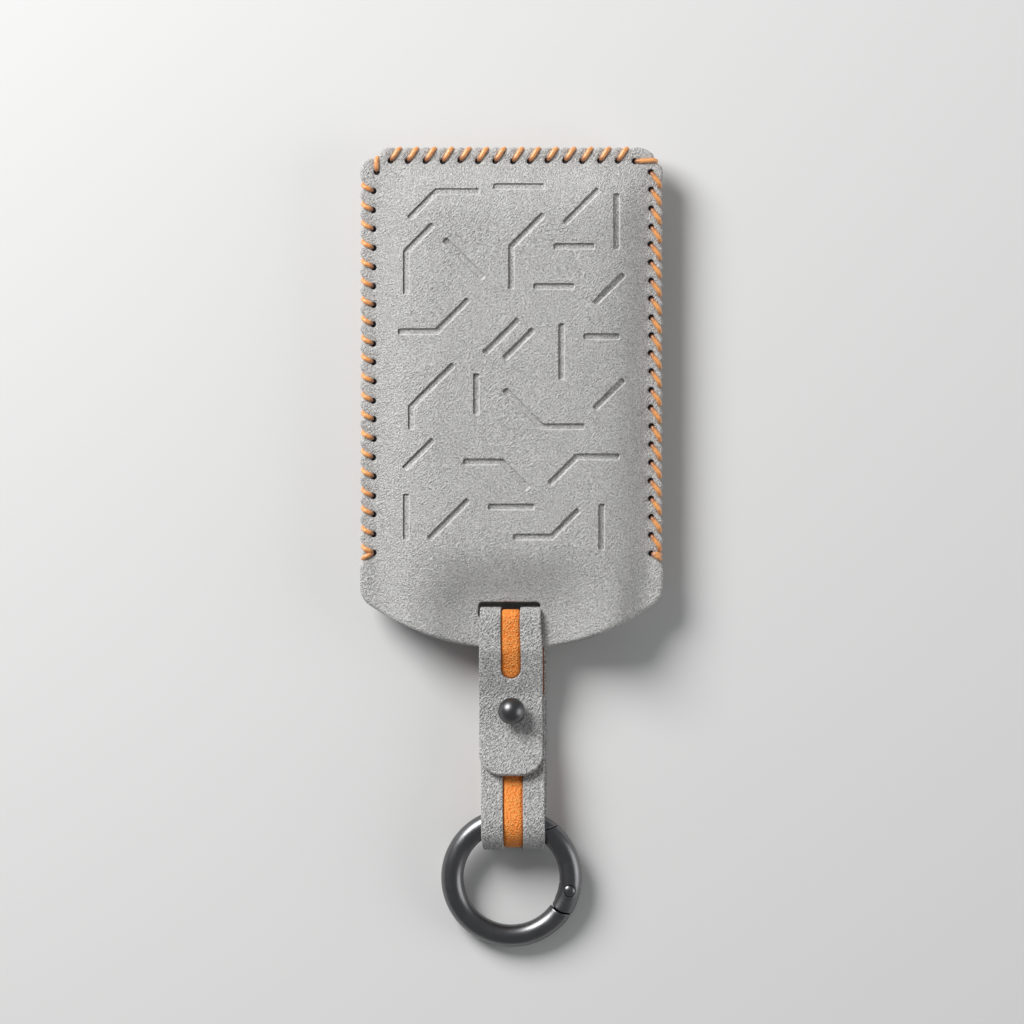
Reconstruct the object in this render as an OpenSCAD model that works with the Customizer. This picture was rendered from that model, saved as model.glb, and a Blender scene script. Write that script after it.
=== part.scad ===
// Leather key fob cover with a wrap-through strap and a spring gate ring.
// It lies on its back: +X right, +Y towards the closed end, +Z up out of the front.
// The origin is the middle of the flat back face.

/* [Case] */
// Width of the case across its stitched edges
case_w = 60; // [56:0.5:66]
// Length of the case from the closed end to the tip of the apron
case_l = 100; // [96:0.5:110]
// Thickness of the case over its two domes, without their crowns
case_t = 13; // [12:0.25:15]
// Extra rise in the middle of the front
front_crown = 0.6; // [0.2:0.1:1.2]
// Extra fullness of the back, which is pressed flat where it rests
back_crown = 0.12; // [0.05:0.01:0.3]
// Radius of the two corners at the closed end
top_corner_r = 5.5; // [4:0.25:8]
// Radius of the two corners where the sides meet the apron
hem_corner_r = 4; // [2:0.25:6]
// Radius of the curved apron edge
apron_r = 50; // [46:0.5:60]
// Thickness of the suede of the panels
suede_t = 1; // [0.8:0.1:1.2]
// Thickness of the lining
lining_t = 0.6; // [0.4:0.1:0.8]

/* [Pocket] */
// Flat rim between the edge and the foot of the dome
rim_w = 2.3; // [2:0.1:3]
// Steepest slope of the dome in degrees
wall_angle = 34; // [28:1:42]
// Radius of the foot of the dome
toe_r = 2; // [1:0.25:3]
// Radius of the shoulder of the dome
shoulder_r = 17; // [12:0.5:18]
// Distance from the apron tip to where the pocket starts to close down
drop_start = 20.5; // [19:0.5:23]
// Distance from the apron tip to where the lips are fully shaped
drop_end = 5.5; // [5:0.5:8]

/* [Mouth] */
// Half of the gap between the linings where the strap pinches the lips
pinch_gap = 0.2; // [0.1:0.05:0.4]
// Half of the gap between the linings where the mouth stands open
mouth_gap = 4.2; // [3:0.1:4.6]
// Half width of the pinched middle
pinch_half_w = 7.4; // [7:0.1:8]
// Distance from the middle to the widest part of the mouth
mouth_x = 19.5; // [17:0.5:21]

/* [Slot] */
// Height of the slot in each panel
slot_h = 3.2; // [3:0.1:4]
// Distance from the apron tip to the far edge of the slot
slot_far = 9; // [8.6:0.1:10]
// Room beside the strap on each side in the slot
slot_side_gap = 0.3; // [0.2:0.1:0.8]
// Corner radius of the slot
slot_corner_r = 0.7; // [0.3:0.1:1]

/* [Stitching] */
// Diameter of the thread
thread_d = 1; // [0.8:0.05:1.1]
// Diameter of the stitch holes
stitch_hole_d = 1.2; // [1.15:0.05:1.4]
// Distance from the edge to the row of holes
stitch_inset = 2.4; // [2.2:0.1:2.8]
// Distance from the apron tip to the first and last stitch
stitch_end = 18.8; // [18:0.2:22]
// Room between the thread and the edge that it goes over
thread_gap = 0.05; // [0.02:0.01:0.1]
// Number of holes on the left side
left_holes = 21; // [16:1:22]
// Number of holes along the closed end
top_holes = 15; // [12:1:16]
// Number of holes on the right side
right_holes = 22; // [16:1:23]

/* [Strap] */
// Width of the strap
strap_w = 13; // [12:0.25:14]
// Thickness of the outer layer of the strap
strap_outer_t = 0.9; // [0.7:0.05:1]
// Thickness of the liner of the strap
strap_liner_t = 0.7; // [0.5:0.05:0.8]
// Gap between the strap and the lips that it goes round
lip_gap = 0.15; // [0.1:0.05:0.3]
// Distance from the apron tip to the middle of the ball stud
stud_off = 12.8; // [12.5:0.1:16]
// Distance from the ball stud to the tip of the tab
tab_tip = 13; // [12:0.25:15]
// Corner radius of the tab tip
tab_tip_r = 3.6; // [2:0.2:5]
// Distance from the ball stud to the end of the ring loop
loop_end = 28.25; // [27:0.25:32]
// Inside radius of the ring loop
loop_r = 3.75; // [3.7:0.05:4.2]
// Inside radius of the bends through the slots
slot_bend_r = 0.7; // [0.5:0.05:0.8]
// Width of the long windows in the outer layer
window_w = 4; // [3:0.25:5]
// Distance from the ball stud to the rounded end of the tab window
tab_window_off = 6.6; // [6:0.2:8]
// Distance from the tab tip back to the hidden end of the loop window
loop_window_lap = 3; // [1:0.5:5]
// Direction in degrees from the middle of the loop to the end of its window
loop_window_turn = 200; // [170:5:230]

/* [Ball stud] */
// Diameter of the ball
ball_d = 5.4; // [5:0.1:6]
// Diameter of the neck under the ball
neck_d = 3; // [2.6:0.1:3.4]
// Diameter of the base flange
flange_d = 6.4; // [6:0.1:7]
// Thickness of the base flange
flange_t = 0.6; // [0.4:0.1:0.8]
// Diameter of the barrel that goes through the strap
barrel_d = 2.6; // [2.2:0.1:2.8]
// Diameter of the shank of the screw
screw_d = 1.6; // [1.2:0.1:1.8]
// Diameter of the head of the screw
screw_head_d = 6; // [5:0.1:6.4]
// Thickness of the head of the screw
screw_head_t = 0.8; // [0.6:0.05:0.9]
// Height of the bottom of the strap above the rest plane under the stud
stud_lift = 1; // [0.95:0.05:1.2]
// Running and seating clearance round the stud and its screw
stud_fit = 0.05; // [0.03:0.01:0.1]

/* [Ring] */
// Mean radius of the ring
ring_r = 11.85; // [11:0.05:13]
// Diameter of the ring wire
wire_d = 4.5; // [4:0.05:4.6]
// Angle of the gate pin from +X
pin_angle = -11.9; // [-20:0.5:-5]
// Distance from the pin to the tip of the gate
gate_reach = 13.2; // [12.5:0.1:13.6]
// Distance from the pin to the heel of the gate
gate_heel = 4.5; // [4.2:0.1:5]
// Clearance at the tip of the gate and round the nose of the tongue
gate_gap = 0.12; // [0.08:0.01:0.2]
// Clearance at the heel of the gate
heel_gap = 0.35; // [0.1:0.05:0.5]
// Thickness of the tongue between the cheeks of the gate
tongue_t = 1.5; // [1.2:0.1:1.8]
// Clearance on each face of the tongue
tongue_gap = 0.08; // [0.05:0.01:0.12]
// Radius of the nose of the tongue
nose_r = 2.45; // [2.3:0.05:2.5]
// Distance from the pin to the cam flat on the nose
cam_flat = 2; // [1.8:0.05:2.1]
// Diameter of the gate pin
pin_d = 1.6; // [1.2:0.1:1.8]
// Diameter of the seats for the heads of the gate pin
pin_seat_d = 2.4; // [2.2:0.1:2.8]
// Gap round each head in its seat
pin_head_gap = 0.14; // [0.05:0.01:0.16]
// Height of the dome of each head
pin_dome_h = 0.35; // [0.2:0.05:0.4]
// Radial running clearance of the pin in the tongue
pin_fit = 0.05; // [0.02:0.01:0.08]
// Diameter of the plunger
plunger_d = 1.4; // [1.2:0.1:1.5]
// Length of the plunger
plunger_l = 2.2; // [2:0.1:2.5]
// Radial clearance of the plunger in its bore
plunger_fit = 0.06; // [0.03:0.01:0.1]
// Distance from the pin to the bottom of the spring bore
bore_end = 7.6; // [7.2:0.1:7.8]
// Diameter of the spring wire
spring_wire_d = 0.22; // [0.18:0.02:0.26]
// Number of turns of the spring
spring_turns = 6; // [4:1:7]

/* [Hidden] */

// Small lengths that no one would set
overrun = 0.5;
face_gap = 0.03;
leg_gap = 0.15;

// Shares for arcs and the grid of the panels
arc_steps = 6;
long_arc_steps = 24;
toe_shares = [0, 0.5, 1];
shoulder_shares = [0, 0.25, 0.5, 0.75, 1];
width_shares = [0, 0.15, 0.28, 0.38, 0.48, 0.57, 0.65, 0.73, 0.82, 0.92];
length_shares = [0.15, 0.38, 0.62, 0.85];
drop_shares = [0, 0.2, 0.4, 0.6, 0.8, 1];
bend_room_share = 0.17;

// Case
half_w = case_w / 2;
half_l = case_l / 2;
seam_z = case_t / 2;
rim_t = suede_t + lining_t;
rise = seam_z - rim_t;
toe_run = toe_r * sin(wall_angle);
toe_rise = toe_r * (1 - cos(wall_angle));
wall_rise = rise - (toe_r + shoulder_r) * (1 - cos(wall_angle));
wall_run = wall_rise / tan(wall_angle);
shoulder_run = shoulder_r * sin(wall_angle);
shoulder_start = toe_run + wall_run;
shoulder_end = shoulder_start + shoulder_run;
foot_x = half_w - rim_w;
foot_y = half_l - rim_w;
drop_top_y = drop_start - half_l;
drop_low_y = drop_end - half_l;
apron_y = apron_r - half_l;

// Slot
slot_top_y = slot_far - half_l;
slot_low_y = slot_top_y - slot_h;
slot_w = strap_w + 2 * slot_side_gap;

// Strap levels, each the height of the face between its two layers
strap_t = strap_outer_t + strap_liner_t;
stud_y = -half_l - stud_off;
lip_top_z = seam_z + pinch_gap + rim_t;
lip_low_z = seam_z - pinch_gap - rim_t;
front_leg_z = lip_top_z + lip_gap + strap_liner_t;
back_leg_z = lip_low_z - lip_gap - strap_liner_t;
stud_back_z = stud_lift + strap_outer_t;
stud_mid_z = stud_back_z + strap_liner_t + leg_gap + strap_liner_t;
flange_z = stud_mid_z + strap_outer_t;
tab_z = flange_z + flange_t + face_gap + strap_liner_t;
tab_top_z = tab_z + strap_outer_t;
slot_leg_y = slot_top_y - (slot_h - strap_t) * 0.6 - strap_outer_t;
loop_ply_r = loop_r + strap_liner_t;
loop_out_r = loop_r + strap_t;
loop_y = stud_y - loop_end + loop_out_r;
loop_z = loop_out_r;
flat_half = flange_d / 2 + leg_gap;
tab_tip_y = stud_y - tab_tip;

// Stud
neck_top_z = tab_top_z + leg_gap;
ball_z = neck_top_z + sqrt(pow(ball_d / 2, 2) - pow(neck_d / 2, 2));
barrel_low_z = stud_lift + leg_gap;

// Ring
wire_r = wire_d / 2;
strap_half = strap_w / 2;
sagitta = ring_r - sqrt(pow(ring_r, 2) - pow(strap_half, 2));
swing_off = ring_r - sagitta * 0.65;
ring_tilt = asin((loop_z - wire_r) / (swing_off + ring_r));
pin_r = pin_d / 2;
nose_clear = nose_r + gate_gap;
bore_turn = 18;
cheek_z = tongue_t / 2 + tongue_gap;
plunger_start = cam_flat + face_gap;
plunger_end = plunger_start + plunger_l;
spring_len = bore_end - face_gap - plunger_end - face_gap;
spring_r = plunger_d / 2 - spring_wire_d / 2 - face_gap;

// Points of an arc in the plane
function arc(c, r, from, to, steps) =
    [for (i = [0 : steps]) let (a = from + (to - from) * i / steps) c + r * [cos(a), sin(a)]];

// Outline of the case seen from the front
hem_c = [half_w - hem_corner_r,
    apron_y - sqrt(pow(apron_r - hem_corner_r, 2) - pow(half_w - hem_corner_r, 2))];
hem_angle = atan2(hem_c[1] - apron_y, hem_c[0]);
function mirrored(pts) = [for (i = [len(pts) - 1 : -1 : 0]) [-pts[i][0], pts[i][1]]];
right_edge = concat(
    arc([0, apron_y], apron_r, -90, hem_angle, long_arc_steps / 2),
    arc(hem_c, hem_corner_r, hem_angle, 0, arc_steps),
    arc([half_w - top_corner_r, half_l - top_corner_r], top_corner_r, 0, 90, arc_steps));

module case_outline() {
    polygon(concat(right_edge, mirrored(right_edge)));
}

// Height of the dome at a distance inside its foot
function wall_height(d) =
    d <= 0 ? 0
    : d < toe_run ? toe_r - sqrt(pow(toe_r, 2) - pow(d, 2))
    : d < shoulder_start ? toe_rise + (d - toe_run) * tan(wall_angle)
    : d < shoulder_end ? rise - shoulder_r + sqrt(pow(shoulder_r, 2) - pow(shoulder_end - d, 2))
    : rise;

// Height of the dome over a place, which falls to the rim on both sides and at the closed end
function dome_height(x, y) = wall_height(foot_x - abs(x)) * wall_height(foot_y - y) / rise;

// Rises from 0 to 1 as a place goes from one end of a stretch to the other
function wave(u, from, to) = (1 - cos(180 * (u - from) / (to - from))) / 2;

// Half gap of the lips across the mouth
function lip_height(x) =
    let (u = abs(x))
    u < pinch_half_w ? pinch_gap
    : u < mouth_x ? pinch_gap + (mouth_gap - pinch_gap) * wave(u, pinch_half_w, mouth_x)
    : u < foot_x ? mouth_gap * (1 - wave(u, mouth_x, foot_x))
    : 0;

function smooth_share(t) = let (u = min(max(t, 0), 1)) u * u * (3 - 2 * u);

// Height of the outer face of a panel above its flat rim
function panel_height(x, y, crown) =
    let (
        s = smooth_share((y - drop_low_y) / (drop_top_y - drop_low_y)),
        base = lip_height(x) * (1 - s) + dome_height(x, y) * s,
        swell = crown / rise * s * cos(90 * min(abs(x) / half_w, 1)) * cos(90 * min(abs(y) / half_l, 1)))
    base * (1 + swell);

// A point of the face at a depth below the outer face, square to it
function panel_point(x, y, crown, depth) =
    let (
        e = toe_r / 50,
        dx = (panel_height(x + e, y, crown) - panel_height(x - e, y, crown)) / (2 * e),
        dy = (panel_height(x, y + e, crown) - panel_height(x, y - e, crown)) / (2 * e),
        n = [-dx, -dy, 1] / norm([dx, dy, 1]))
    [x, y, rim_t + panel_height(x, y, crown)] - depth * n;

// Distances of the grid lines inside the foot of the dome at the closed end
wall_lines = concat(
    [-rim_w - overrun],
    [for (s = toe_shares) s * toe_run],
    [for (s = shoulder_shares) shoulder_start + s * shoulder_run]);
toe_x = foot_x - toe_run;
half_x = concat(
    [for (s = width_shares) s * toe_x],
    [for (s = toe_shares) toe_x + s * toe_run],
    [half_w + overrun]);
grid_x = concat([for (i = [len(half_x) - 1 : -1 : 1]) -half_x[i]], half_x);
field_top_y = foot_y - shoulder_end;
grid_y = concat(
    [-half_l - overrun],
    [for (s = drop_shares) drop_low_y + s * (drop_top_y - drop_low_y)],
    [for (s = length_shares) drop_top_y + s * (field_top_y - drop_top_y)],
    [for (i = [len(wall_lines) - 1 : -1 : 0]) foot_y - wall_lines[i]]);

// A moulded skin between two depths below the outer face
module skin(crown, upper, lower) {
    nx = len(grid_x);
    ny = len(grid_y);
    top = [for (y = grid_y, x = grid_x) panel_point(x, y, crown, upper)];
    low = [for (y = grid_y, x = grid_x) panel_point(x, y, crown, lower)];
    count = nx * ny;
    quads = [for (j = [0 : ny - 2], i = [0 : nx - 2]) let (k = j * nx + i) [k, k + 1, k + nx + 1, k + nx]];
    rim = concat(
        [for (i = [0 : nx - 2]) [i, i + 1]],
        [for (j = [0 : ny - 2]) [j * nx + nx - 1, (j + 1) * nx + nx - 1]],
        [for (i = [nx - 1 : -1 : 1]) [(ny - 1) * nx + i, (ny - 1) * nx + i - 1]],
        [for (j = [ny - 1 : -1 : 1]) [j * nx, (j - 1) * nx]]);
    polyhedron(
        points = concat(top, low),
        faces = concat(
            [for (q = quads, t = [[0, 2, 1], [0, 3, 2]]) [for (k = t) q[k]]],
            [for (q = quads, t = [[0, 1, 2], [0, 2, 3]]) [for (k = t) count + q[k]]],
            [for (r = rim) each [[r[0], r[1], count + r[1]], [r[0], count + r[1], count + r[0]]]]));
}

// Places of the stitch holes, from the lower left over the top to the lower right
stitch_x = half_w - stitch_inset;
stitch_top_y = half_l - stitch_inset;
stitch_low_y = stitch_end - half_l;
side_top_y = stitch_top_y - stitch_inset * 0.9;
top_left_x = -stitch_x + stitch_inset * 1.4;
top_right_x = stitch_x - stitch_inset * 1.2;
function spread(a, b, count) = [for (i = [0 : count - 1]) a + (b - a) * i / (count - 1)];
left_run = [for (y = spread(stitch_low_y, side_top_y, left_holes)) [-stitch_x, y]];
top_run = [for (x = spread(top_left_x, top_right_x, top_holes)) [x, stitch_top_y]];
right_run = [for (y = spread(side_top_y, stitch_low_y, right_holes)) [stitch_x, y]];
stitch_points = concat(left_run, top_run, right_run);

module stitch_holes() {
    for (p = stitch_points) {
        translate([p[0], p[1], -overrun])
            cylinder(d = stitch_hole_d, h = case_t + 2 * overrun + front_crown, $fn = 24);
    }
}

// A rounded rectangle about its middle
module rounded_rect(w, h, r) {
    c = [w / 2 - r, h / 2 - r];
    polygon(concat(
        arc([c[0], c[1]], r, 0, 90, arc_steps),
        arc([-c[0], c[1]], r, 90, 180, arc_steps),
        arc([-c[0], -c[1]], r, 180, 270, arc_steps),
        arc([c[0], -c[1]], r, 270, 360, arc_steps)));
}

module strap_slot() {
    translate([0, (slot_top_y + slot_low_y) / 2, -overrun])
        linear_extrude(case_t + 2 * overrun)
            rounded_rect(slot_w, slot_h, slot_corner_r);
}

// Cuts a skin to the outline, with its holes and the slot
module trimmed() {
    difference() {
        intersection() {
            children();
            linear_extrude(case_t + front_crown + overrun) case_outline();
        }
        stitch_holes();
        strap_slot();
    }
}

module front_side() {
    translate([0, 0, seam_z]) children();
}

module back_side() {
    translate([0, 0, seam_z]) mirror([0, 0, 1]) children();
}

module front_panel() {
    color("#bebcb8") trimmed() front_side() skin(front_crown, 0, suede_t);
}

module back_panel() {
    color("#b4b2ae") trimmed() back_side() skin(back_crown, 0, suede_t);
}

module front_lining() {
    color("#4a4a4c") trimmed() front_side() skin(front_crown, suede_t, rim_t);
}

module back_lining() {
    color("#434345") trimmed() back_side() skin(back_crown, suede_t, rim_t);
}

// The nearest place on the stitched edge and the direction out of it
corner_c = [half_w - top_corner_r, half_l - top_corner_r];
function edge_place(p) =
    let (
        side = p[0] < 0 ? -1 : 1,
        v = [abs(p[0]), p[1]] - corner_c,
        n = v / norm(v),
        q = corner_c + top_corner_r * n)
    v[0] > 0 && v[1] > 0 ? [[side * q[0], q[1]], [side * n[0], n[1]]]
    : v[1] > 0 ? [[p[0], half_l], [0, 1]]
    : [[side * half_w, p[1]], [side, 0]];

// How far each stitch moves on along the front before it goes over the edge
left_pitch = (side_top_y - stitch_low_y) / (left_holes - 1);
top_pitch = (top_right_x - top_left_x) / (top_holes - 1);
right_pitch = (side_top_y - stitch_low_y) / (right_holes - 1);
left_lean_share = 0.3;
top_lean_share = 0.62;
right_lean_share = 0.7;
leans = concat(
    [for (i = [1 : left_holes - 1]) [0, left_lean_share * left_pitch]],
    [[stitch_inset * 0.25, stitch_inset * 1.25]],
    [for (i = [1 : top_holes - 1]) [top_lean_share * top_pitch, 0]],
    [[stitch_inset * 1.7, -stitch_inset * 0.1]],
    [for (i = [1 : right_holes]) [0, -right_lean_share * right_pitch]]);

// Centre line of one stitch: up through its hole, over the edge and to the back
thread_r = thread_d / 2;
thread_z = rim_t + thread_r + thread_gap;
thread_out = thread_r + thread_gap;
thread_turn = thread_out * tan(22.5);
bend_r = thread_r * 0.7;
function at(p, z) = [p[0], p[1], seam_z + z];
function stitch_line(i) =
    let (
        hole = stitch_points[i],
        edge = edge_place(hole + leans[i]),
        over = edge[0] + thread_out * edge[1],
        crest = edge[0] + thread_turn * edge[1],
        back = i < len(stitch_points) - 1 ? stitch_points[i + 1] : hole + [0, -right_pitch * 0.5],
        out = (crest - hole) / norm(crest - hole),
        home = (crest - back) / norm(crest - back))
    [at(hole, -thread_z + bend_r), at(hole, thread_z - bend_r), at(hole + bend_r * out, thread_z),
        at(crest, thread_z), at(over, rim_t + thread_turn), at(over, -rim_t - thread_turn),
        at(crest, -thread_z), at(back + bend_r * home, -thread_z)];
thread_line = [for (i = [0 : len(stitch_points) - 2]) each stitch_line(i)];

// A tube of flat sides along a line of points
function unit(v) = v / norm(v);
function tangent(pts, i) =
    i == 0 ? unit(pts[1] - pts[0])
    : i == len(pts) - 1 ? unit(pts[i] - pts[i - 1])
    : unit(unit(pts[i + 1] - pts[i]) + unit(pts[i] - pts[i - 1]));
function carried(n, t) = unit(n - (n * t) * t);
function normals(pts, i, n) =
    let (m = carried(n, tangent(pts, i)))
    i == len(pts) - 1 ? [m] : concat([m], normals(pts, i + 1, m));
function tube_points(pts, r, sides, start) =
    let (ns = normals(pts, 0, start))
    [for (i = [0 : len(pts) - 1]) let (t = tangent(pts, i), n = ns[i], b = cross(t, n))
        for (k = [0 : sides - 1]) pts[i] + r * (cos(360 * k / sides) * n + sin(360 * k / sides) * b)];

module tube(pts, r, sides, start) {
    last = len(pts) - 1;
    polyhedron(
        points = tube_points(pts, r, sides, start),
        faces = concat(
            [[for (k = [0 : sides - 1]) k]],
            [[for (k = [sides - 1 : -1 : 0]) last * sides + k]],
            [for (i = [0 : last - 1], k = [0 : sides - 1])
                let (m = (k + 1) % sides)
                each [[i * sides + k, (i + 1) * sides + m, i * sides + m],
                    [i * sides + k, (i + 1) * sides + k, (i + 1) * sides + m]]]));
}

module edge_stitching() {
    color("#e8924a") tube(thread_line, thread_r, 6, [1, 0, 0]);
}

// An arc that rounds the corner b between a and c
function turn(a, b, c, r) =
    let (
        u = unit(a - b),
        v = unit(c - b),
        half = acos(u * v) / 2,
        side = cross(u, v) > 0 ? 1 : -1,
        middle = b + unit(u + v) * r / sin(half),
        first = b + u * r / tan(half) - middle,
        from = atan2(first[1], first[0]))
    arc(middle, r, from, from - side * (180 - 2 * half), arc_steps);

// Route of the strap from the tab tip, through the slots and round the ring, as [y, z]
slow_r = flat_half * 1.6;
lean_y = -half_l - strap_liner_t;
near_y = stud_y + flat_half;
far_y = stud_y - flat_half - slow_r * bend_room_share;
mid_from = [far_y, stud_mid_z];
mid_reach = mid_from - [loop_y, loop_z];
mid_turn = atan2(mid_reach[1], mid_reach[0]) + acos(loop_ply_r / norm(mid_reach));
mid_touch = [loop_y, loop_z] + loop_ply_r * [cos(mid_turn), sin(mid_turn)];
mid_slope = unit(mid_touch - mid_from);
tab_from = [far_y, tab_z];
tab_end = tab_from + mid_slope * (tab_from[0] - tab_tip_y) / -mid_slope[0];
low_leg_z = loop_z - loop_ply_r;
slot_ply_r = slot_bend_r + strap_liner_t;
outer_corners = [
    tab_end, tab_from, [near_y, tab_z], [lean_y, front_leg_z],
    [slot_leg_y, front_leg_z], [slot_leg_y, back_leg_z],
    [lean_y, back_leg_z], [near_y, stud_back_z], [far_y, stud_back_z],
    [loop_y + loop_r, low_leg_z], [loop_y, low_leg_z]];
outer_radii = [
    slow_r, slow_r / 2, slow_r / 2,
    slot_ply_r, slot_ply_r,
    2 * slow_r, 2 * slow_r, 4 * slow_r,
    2 * slow_r];
strap_route = concat(
    [tab_end],
    [for (i = [0 : len(outer_radii) - 1])
        each turn(outer_corners[i], outer_corners[i + 1], outer_corners[i + 2], outer_radii[i])],
    arc([loop_y, loop_z], loop_ply_r, -90, mid_turn - 360, arc_steps * 3),
    turn(mid_touch, mid_from, [near_y, stud_mid_z], slow_r),
    [[near_y, stud_mid_z]]);

// The route moved sideways by a distance, to the outside of the loop where it is positive
function side_step(pts, i, d) =
    let (
        a = i == 0 ? unit(pts[1] - pts[0]) : unit(pts[i] - pts[i - 1]),
        b = i == len(pts) - 1 ? a : unit(pts[i + 1] - pts[i]),
        n = unit([-a[1] - b[1], a[0] + b[0]]))
    pts[i] + n * d / (n * [-a[1], a[0]]);
function moved(pts, d) = [for (i = [0 : len(pts) - 1]) side_step(pts, i, d)];
function reversed(pts) = [for (i = [len(pts) - 1 : -1 : 0]) pts[i]];

module strap_layer(inner, outer) {
    rotate([90, 0, 90])
        linear_extrude(strap_w, center = true)
            polygon(concat(moved(strap_route, inner), reversed(moved(strap_route, outer))));
}

// Cuts the rounded corners of the tab tip
module tip_corners() {
    translate([0, tab_end[0], tab_end[1]])
        rotate([-atan2(mid_slope[1], -mid_slope[0]), 0, 0])
            translate([0, 0, -strap_liner_t - leg_gap / 2])
                linear_extrude(strap_t + leg_gap)
                    difference() {
                        translate([-strap_w, -strap_w]) square([2 * strap_w, strap_w + tab_tip_r]);
                        translate([0, strap_w / 2]) rounded_rect(strap_w, strap_w, tab_tip_r);
                        translate([-strap_half, tab_tip_r]) square([strap_w, strap_w]);
                    }
}

// Holes for the neck in the tab and for the barrel below it
module stud_holes() {
    translate([0, stud_y, tab_z - strap_liner_t - leg_gap / 2])
        cylinder(d = neck_d + 2 * stud_fit, h = strap_t + leg_gap, $fn = 48);
    translate([0, stud_y, 0])
        cylinder(d = barrel_d + 2 * stud_fit, h = flange_z + leg_gap, $fn = 48);
}

// Short slit that lets the tab spread over the ball
slit_w = 0.3;
slit_l = ball_d / 2;
module button_slit() {
    translate([-slit_w / 2, stud_y - slit_l, tab_z - strap_liner_t - leg_gap / 2])
        cube([slit_w, slit_l, strap_t + leg_gap]);
}

// The tab window starts beside the stud and runs on into the slot
module tab_window() {
    low_y = stud_y + tab_window_off;
    window_l = slot_top_y - low_y;
    translate([0, low_y + window_l / 2, tab_z - leg_gap / 2])
        linear_extrude(case_t)
            rounded_rect(window_w, window_l, window_w / 2 - face_gap);
}

// The loop window starts under the tab and runs round the bend
module loop_window() {
    hidden_end = tab_tip_y + loop_window_lap;
    window_line = concat(
        arc([loop_y, loop_z], loop_ply_r, loop_window_turn - 360, mid_turn - 360, arc_steps * 2),
        [mid_touch + mid_slope * (hidden_end - mid_touch[0]) / mid_slope[0]]);
    low_side = moved(window_line, -leg_gap);
    top_side = moved(window_line, strap_outer_t + leg_gap);
    rotate([90, 0, 90])
        linear_extrude(window_w, center = true)
            polygon(concat(low_side, reversed(top_side)));
}

module strap_outer() {
    color("#9c9b99") difference() {
        strap_layer(0, strap_outer_t);
        tab_window();
        loop_window();
        tip_corners();
        stud_holes();
        button_slit();
    }
}

module strap_liner() {
    color("#f29f5a") difference() {
        strap_layer(-strap_liner_t, 0);
        tip_corners();
        stud_holes();
        button_slit();
    }
}

module ball_stud() {
    color("#4d4d4f") translate([0, stud_y, 0]) difference() {
        union() {
            translate([0, 0, ball_z]) sphere(d = ball_d, $fn = 64);
            translate([0, 0, flange_z]) cylinder(d = neck_d, h = ball_z - flange_z, $fn = 48);
            translate([0, 0, flange_z]) cylinder(d = flange_d, h = flange_t, $fn = 64);
            translate([0, 0, barrel_low_z]) cylinder(d = barrel_d, h = flange_z - barrel_low_z, $fn = 48);
        }
        translate([0, 0, barrel_low_z - overrun])
            cylinder(d = screw_d, h = flange_z - barrel_low_z + overrun, $fn = 48);
    }
}

module stud_screw() {
    head_z = stud_lift - screw_head_t;
    slot_d = screw_head_t * 0.45;
    color("#5b5b5d") translate([0, stud_y, 0]) difference() {
        union() {
            translate([0, 0, head_z])
                cylinder(d1 = screw_head_d - screw_head_t, d2 = screw_head_d, h = screw_head_t, $fn = 64);
            translate([0, 0, stud_lift])
                cylinder(d = screw_d - 2 * stud_fit, h = flange_z - stud_lift - leg_gap, $fn = 48);
        }
        translate([-screw_head_d, -screw_head_t / 2, head_z - overrun])
            cube([2 * screw_head_d, screw_head_t, slot_d + overrun]);
    }
}

// Places things of the ring, drawn flat about its middle, where the ring hangs in the loop
module ring_place() {
    translate([0, loop_y, loop_z])
        rotate([ring_tilt, 0, 0])
            translate([0, -swing_off, 0])
                children();
}

module wire_ring() {
    rotate_extrude($fn = 128) translate([ring_r, 0]) circle(d = wire_d, $fn = 48);
}

// The frame of the pin: +X along the wire towards the heel, +Y out of the ring
module pin_place() {
    rotate([0, 0, pin_angle]) translate([ring_r, 0, 0]) rotate([0, 0, -90]) children();
}

// The space that the gate takes, grown by a gap at its tip and one at its heel
module gate_space(tip_gap, end_gap) {
    reach = gate_reach + tip_gap;
    heel = gate_heel + end_gap;
    pin_place() difference() {
        cylinder(r = reach, h = 2 * wire_d, center = true, $fn = 128);
        difference() {
            translate([0, -2 * reach, -1.5 * wire_d]) cube([2 * reach, 4 * reach, 3 * wire_d]);
            translate([-heel, 0, -2 * wire_d]) cube([2 * heel, 2 * reach, 4 * wire_d]);
            cylinder(r = heel, h = 4 * wire_d, center = true, $fn = 96);
        }
    }
}

// The tongue of the ring between the cheeks of the gate
module tongue() {
    intersection() {
        wire_ring();
        pin_place() difference() {
            union() {
                cylinder(r = nose_r, h = tongue_t, center = true, $fn = 64);
                translate([0, -nose_r, -tongue_t / 2]) cube([gate_heel + wire_r, 2 * nose_r, tongue_t]);
            }
            rotate([0, 0, 180 + bore_turn])
                translate([cam_flat, -wire_d, -wire_d]) cube([wire_d, 2 * wire_d, 2 * wire_d]);
            cylinder(r = pin_r + pin_fit, h = 2 * tongue_t, center = true, $fn = 48);
        }
    }
}

module ring_body() {
    color("#4f4f51") ring_place() union() {
        difference() {
            wire_ring();
            gate_space(gate_gap, heel_gap);
        }
        tongue();
    }
}

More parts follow.
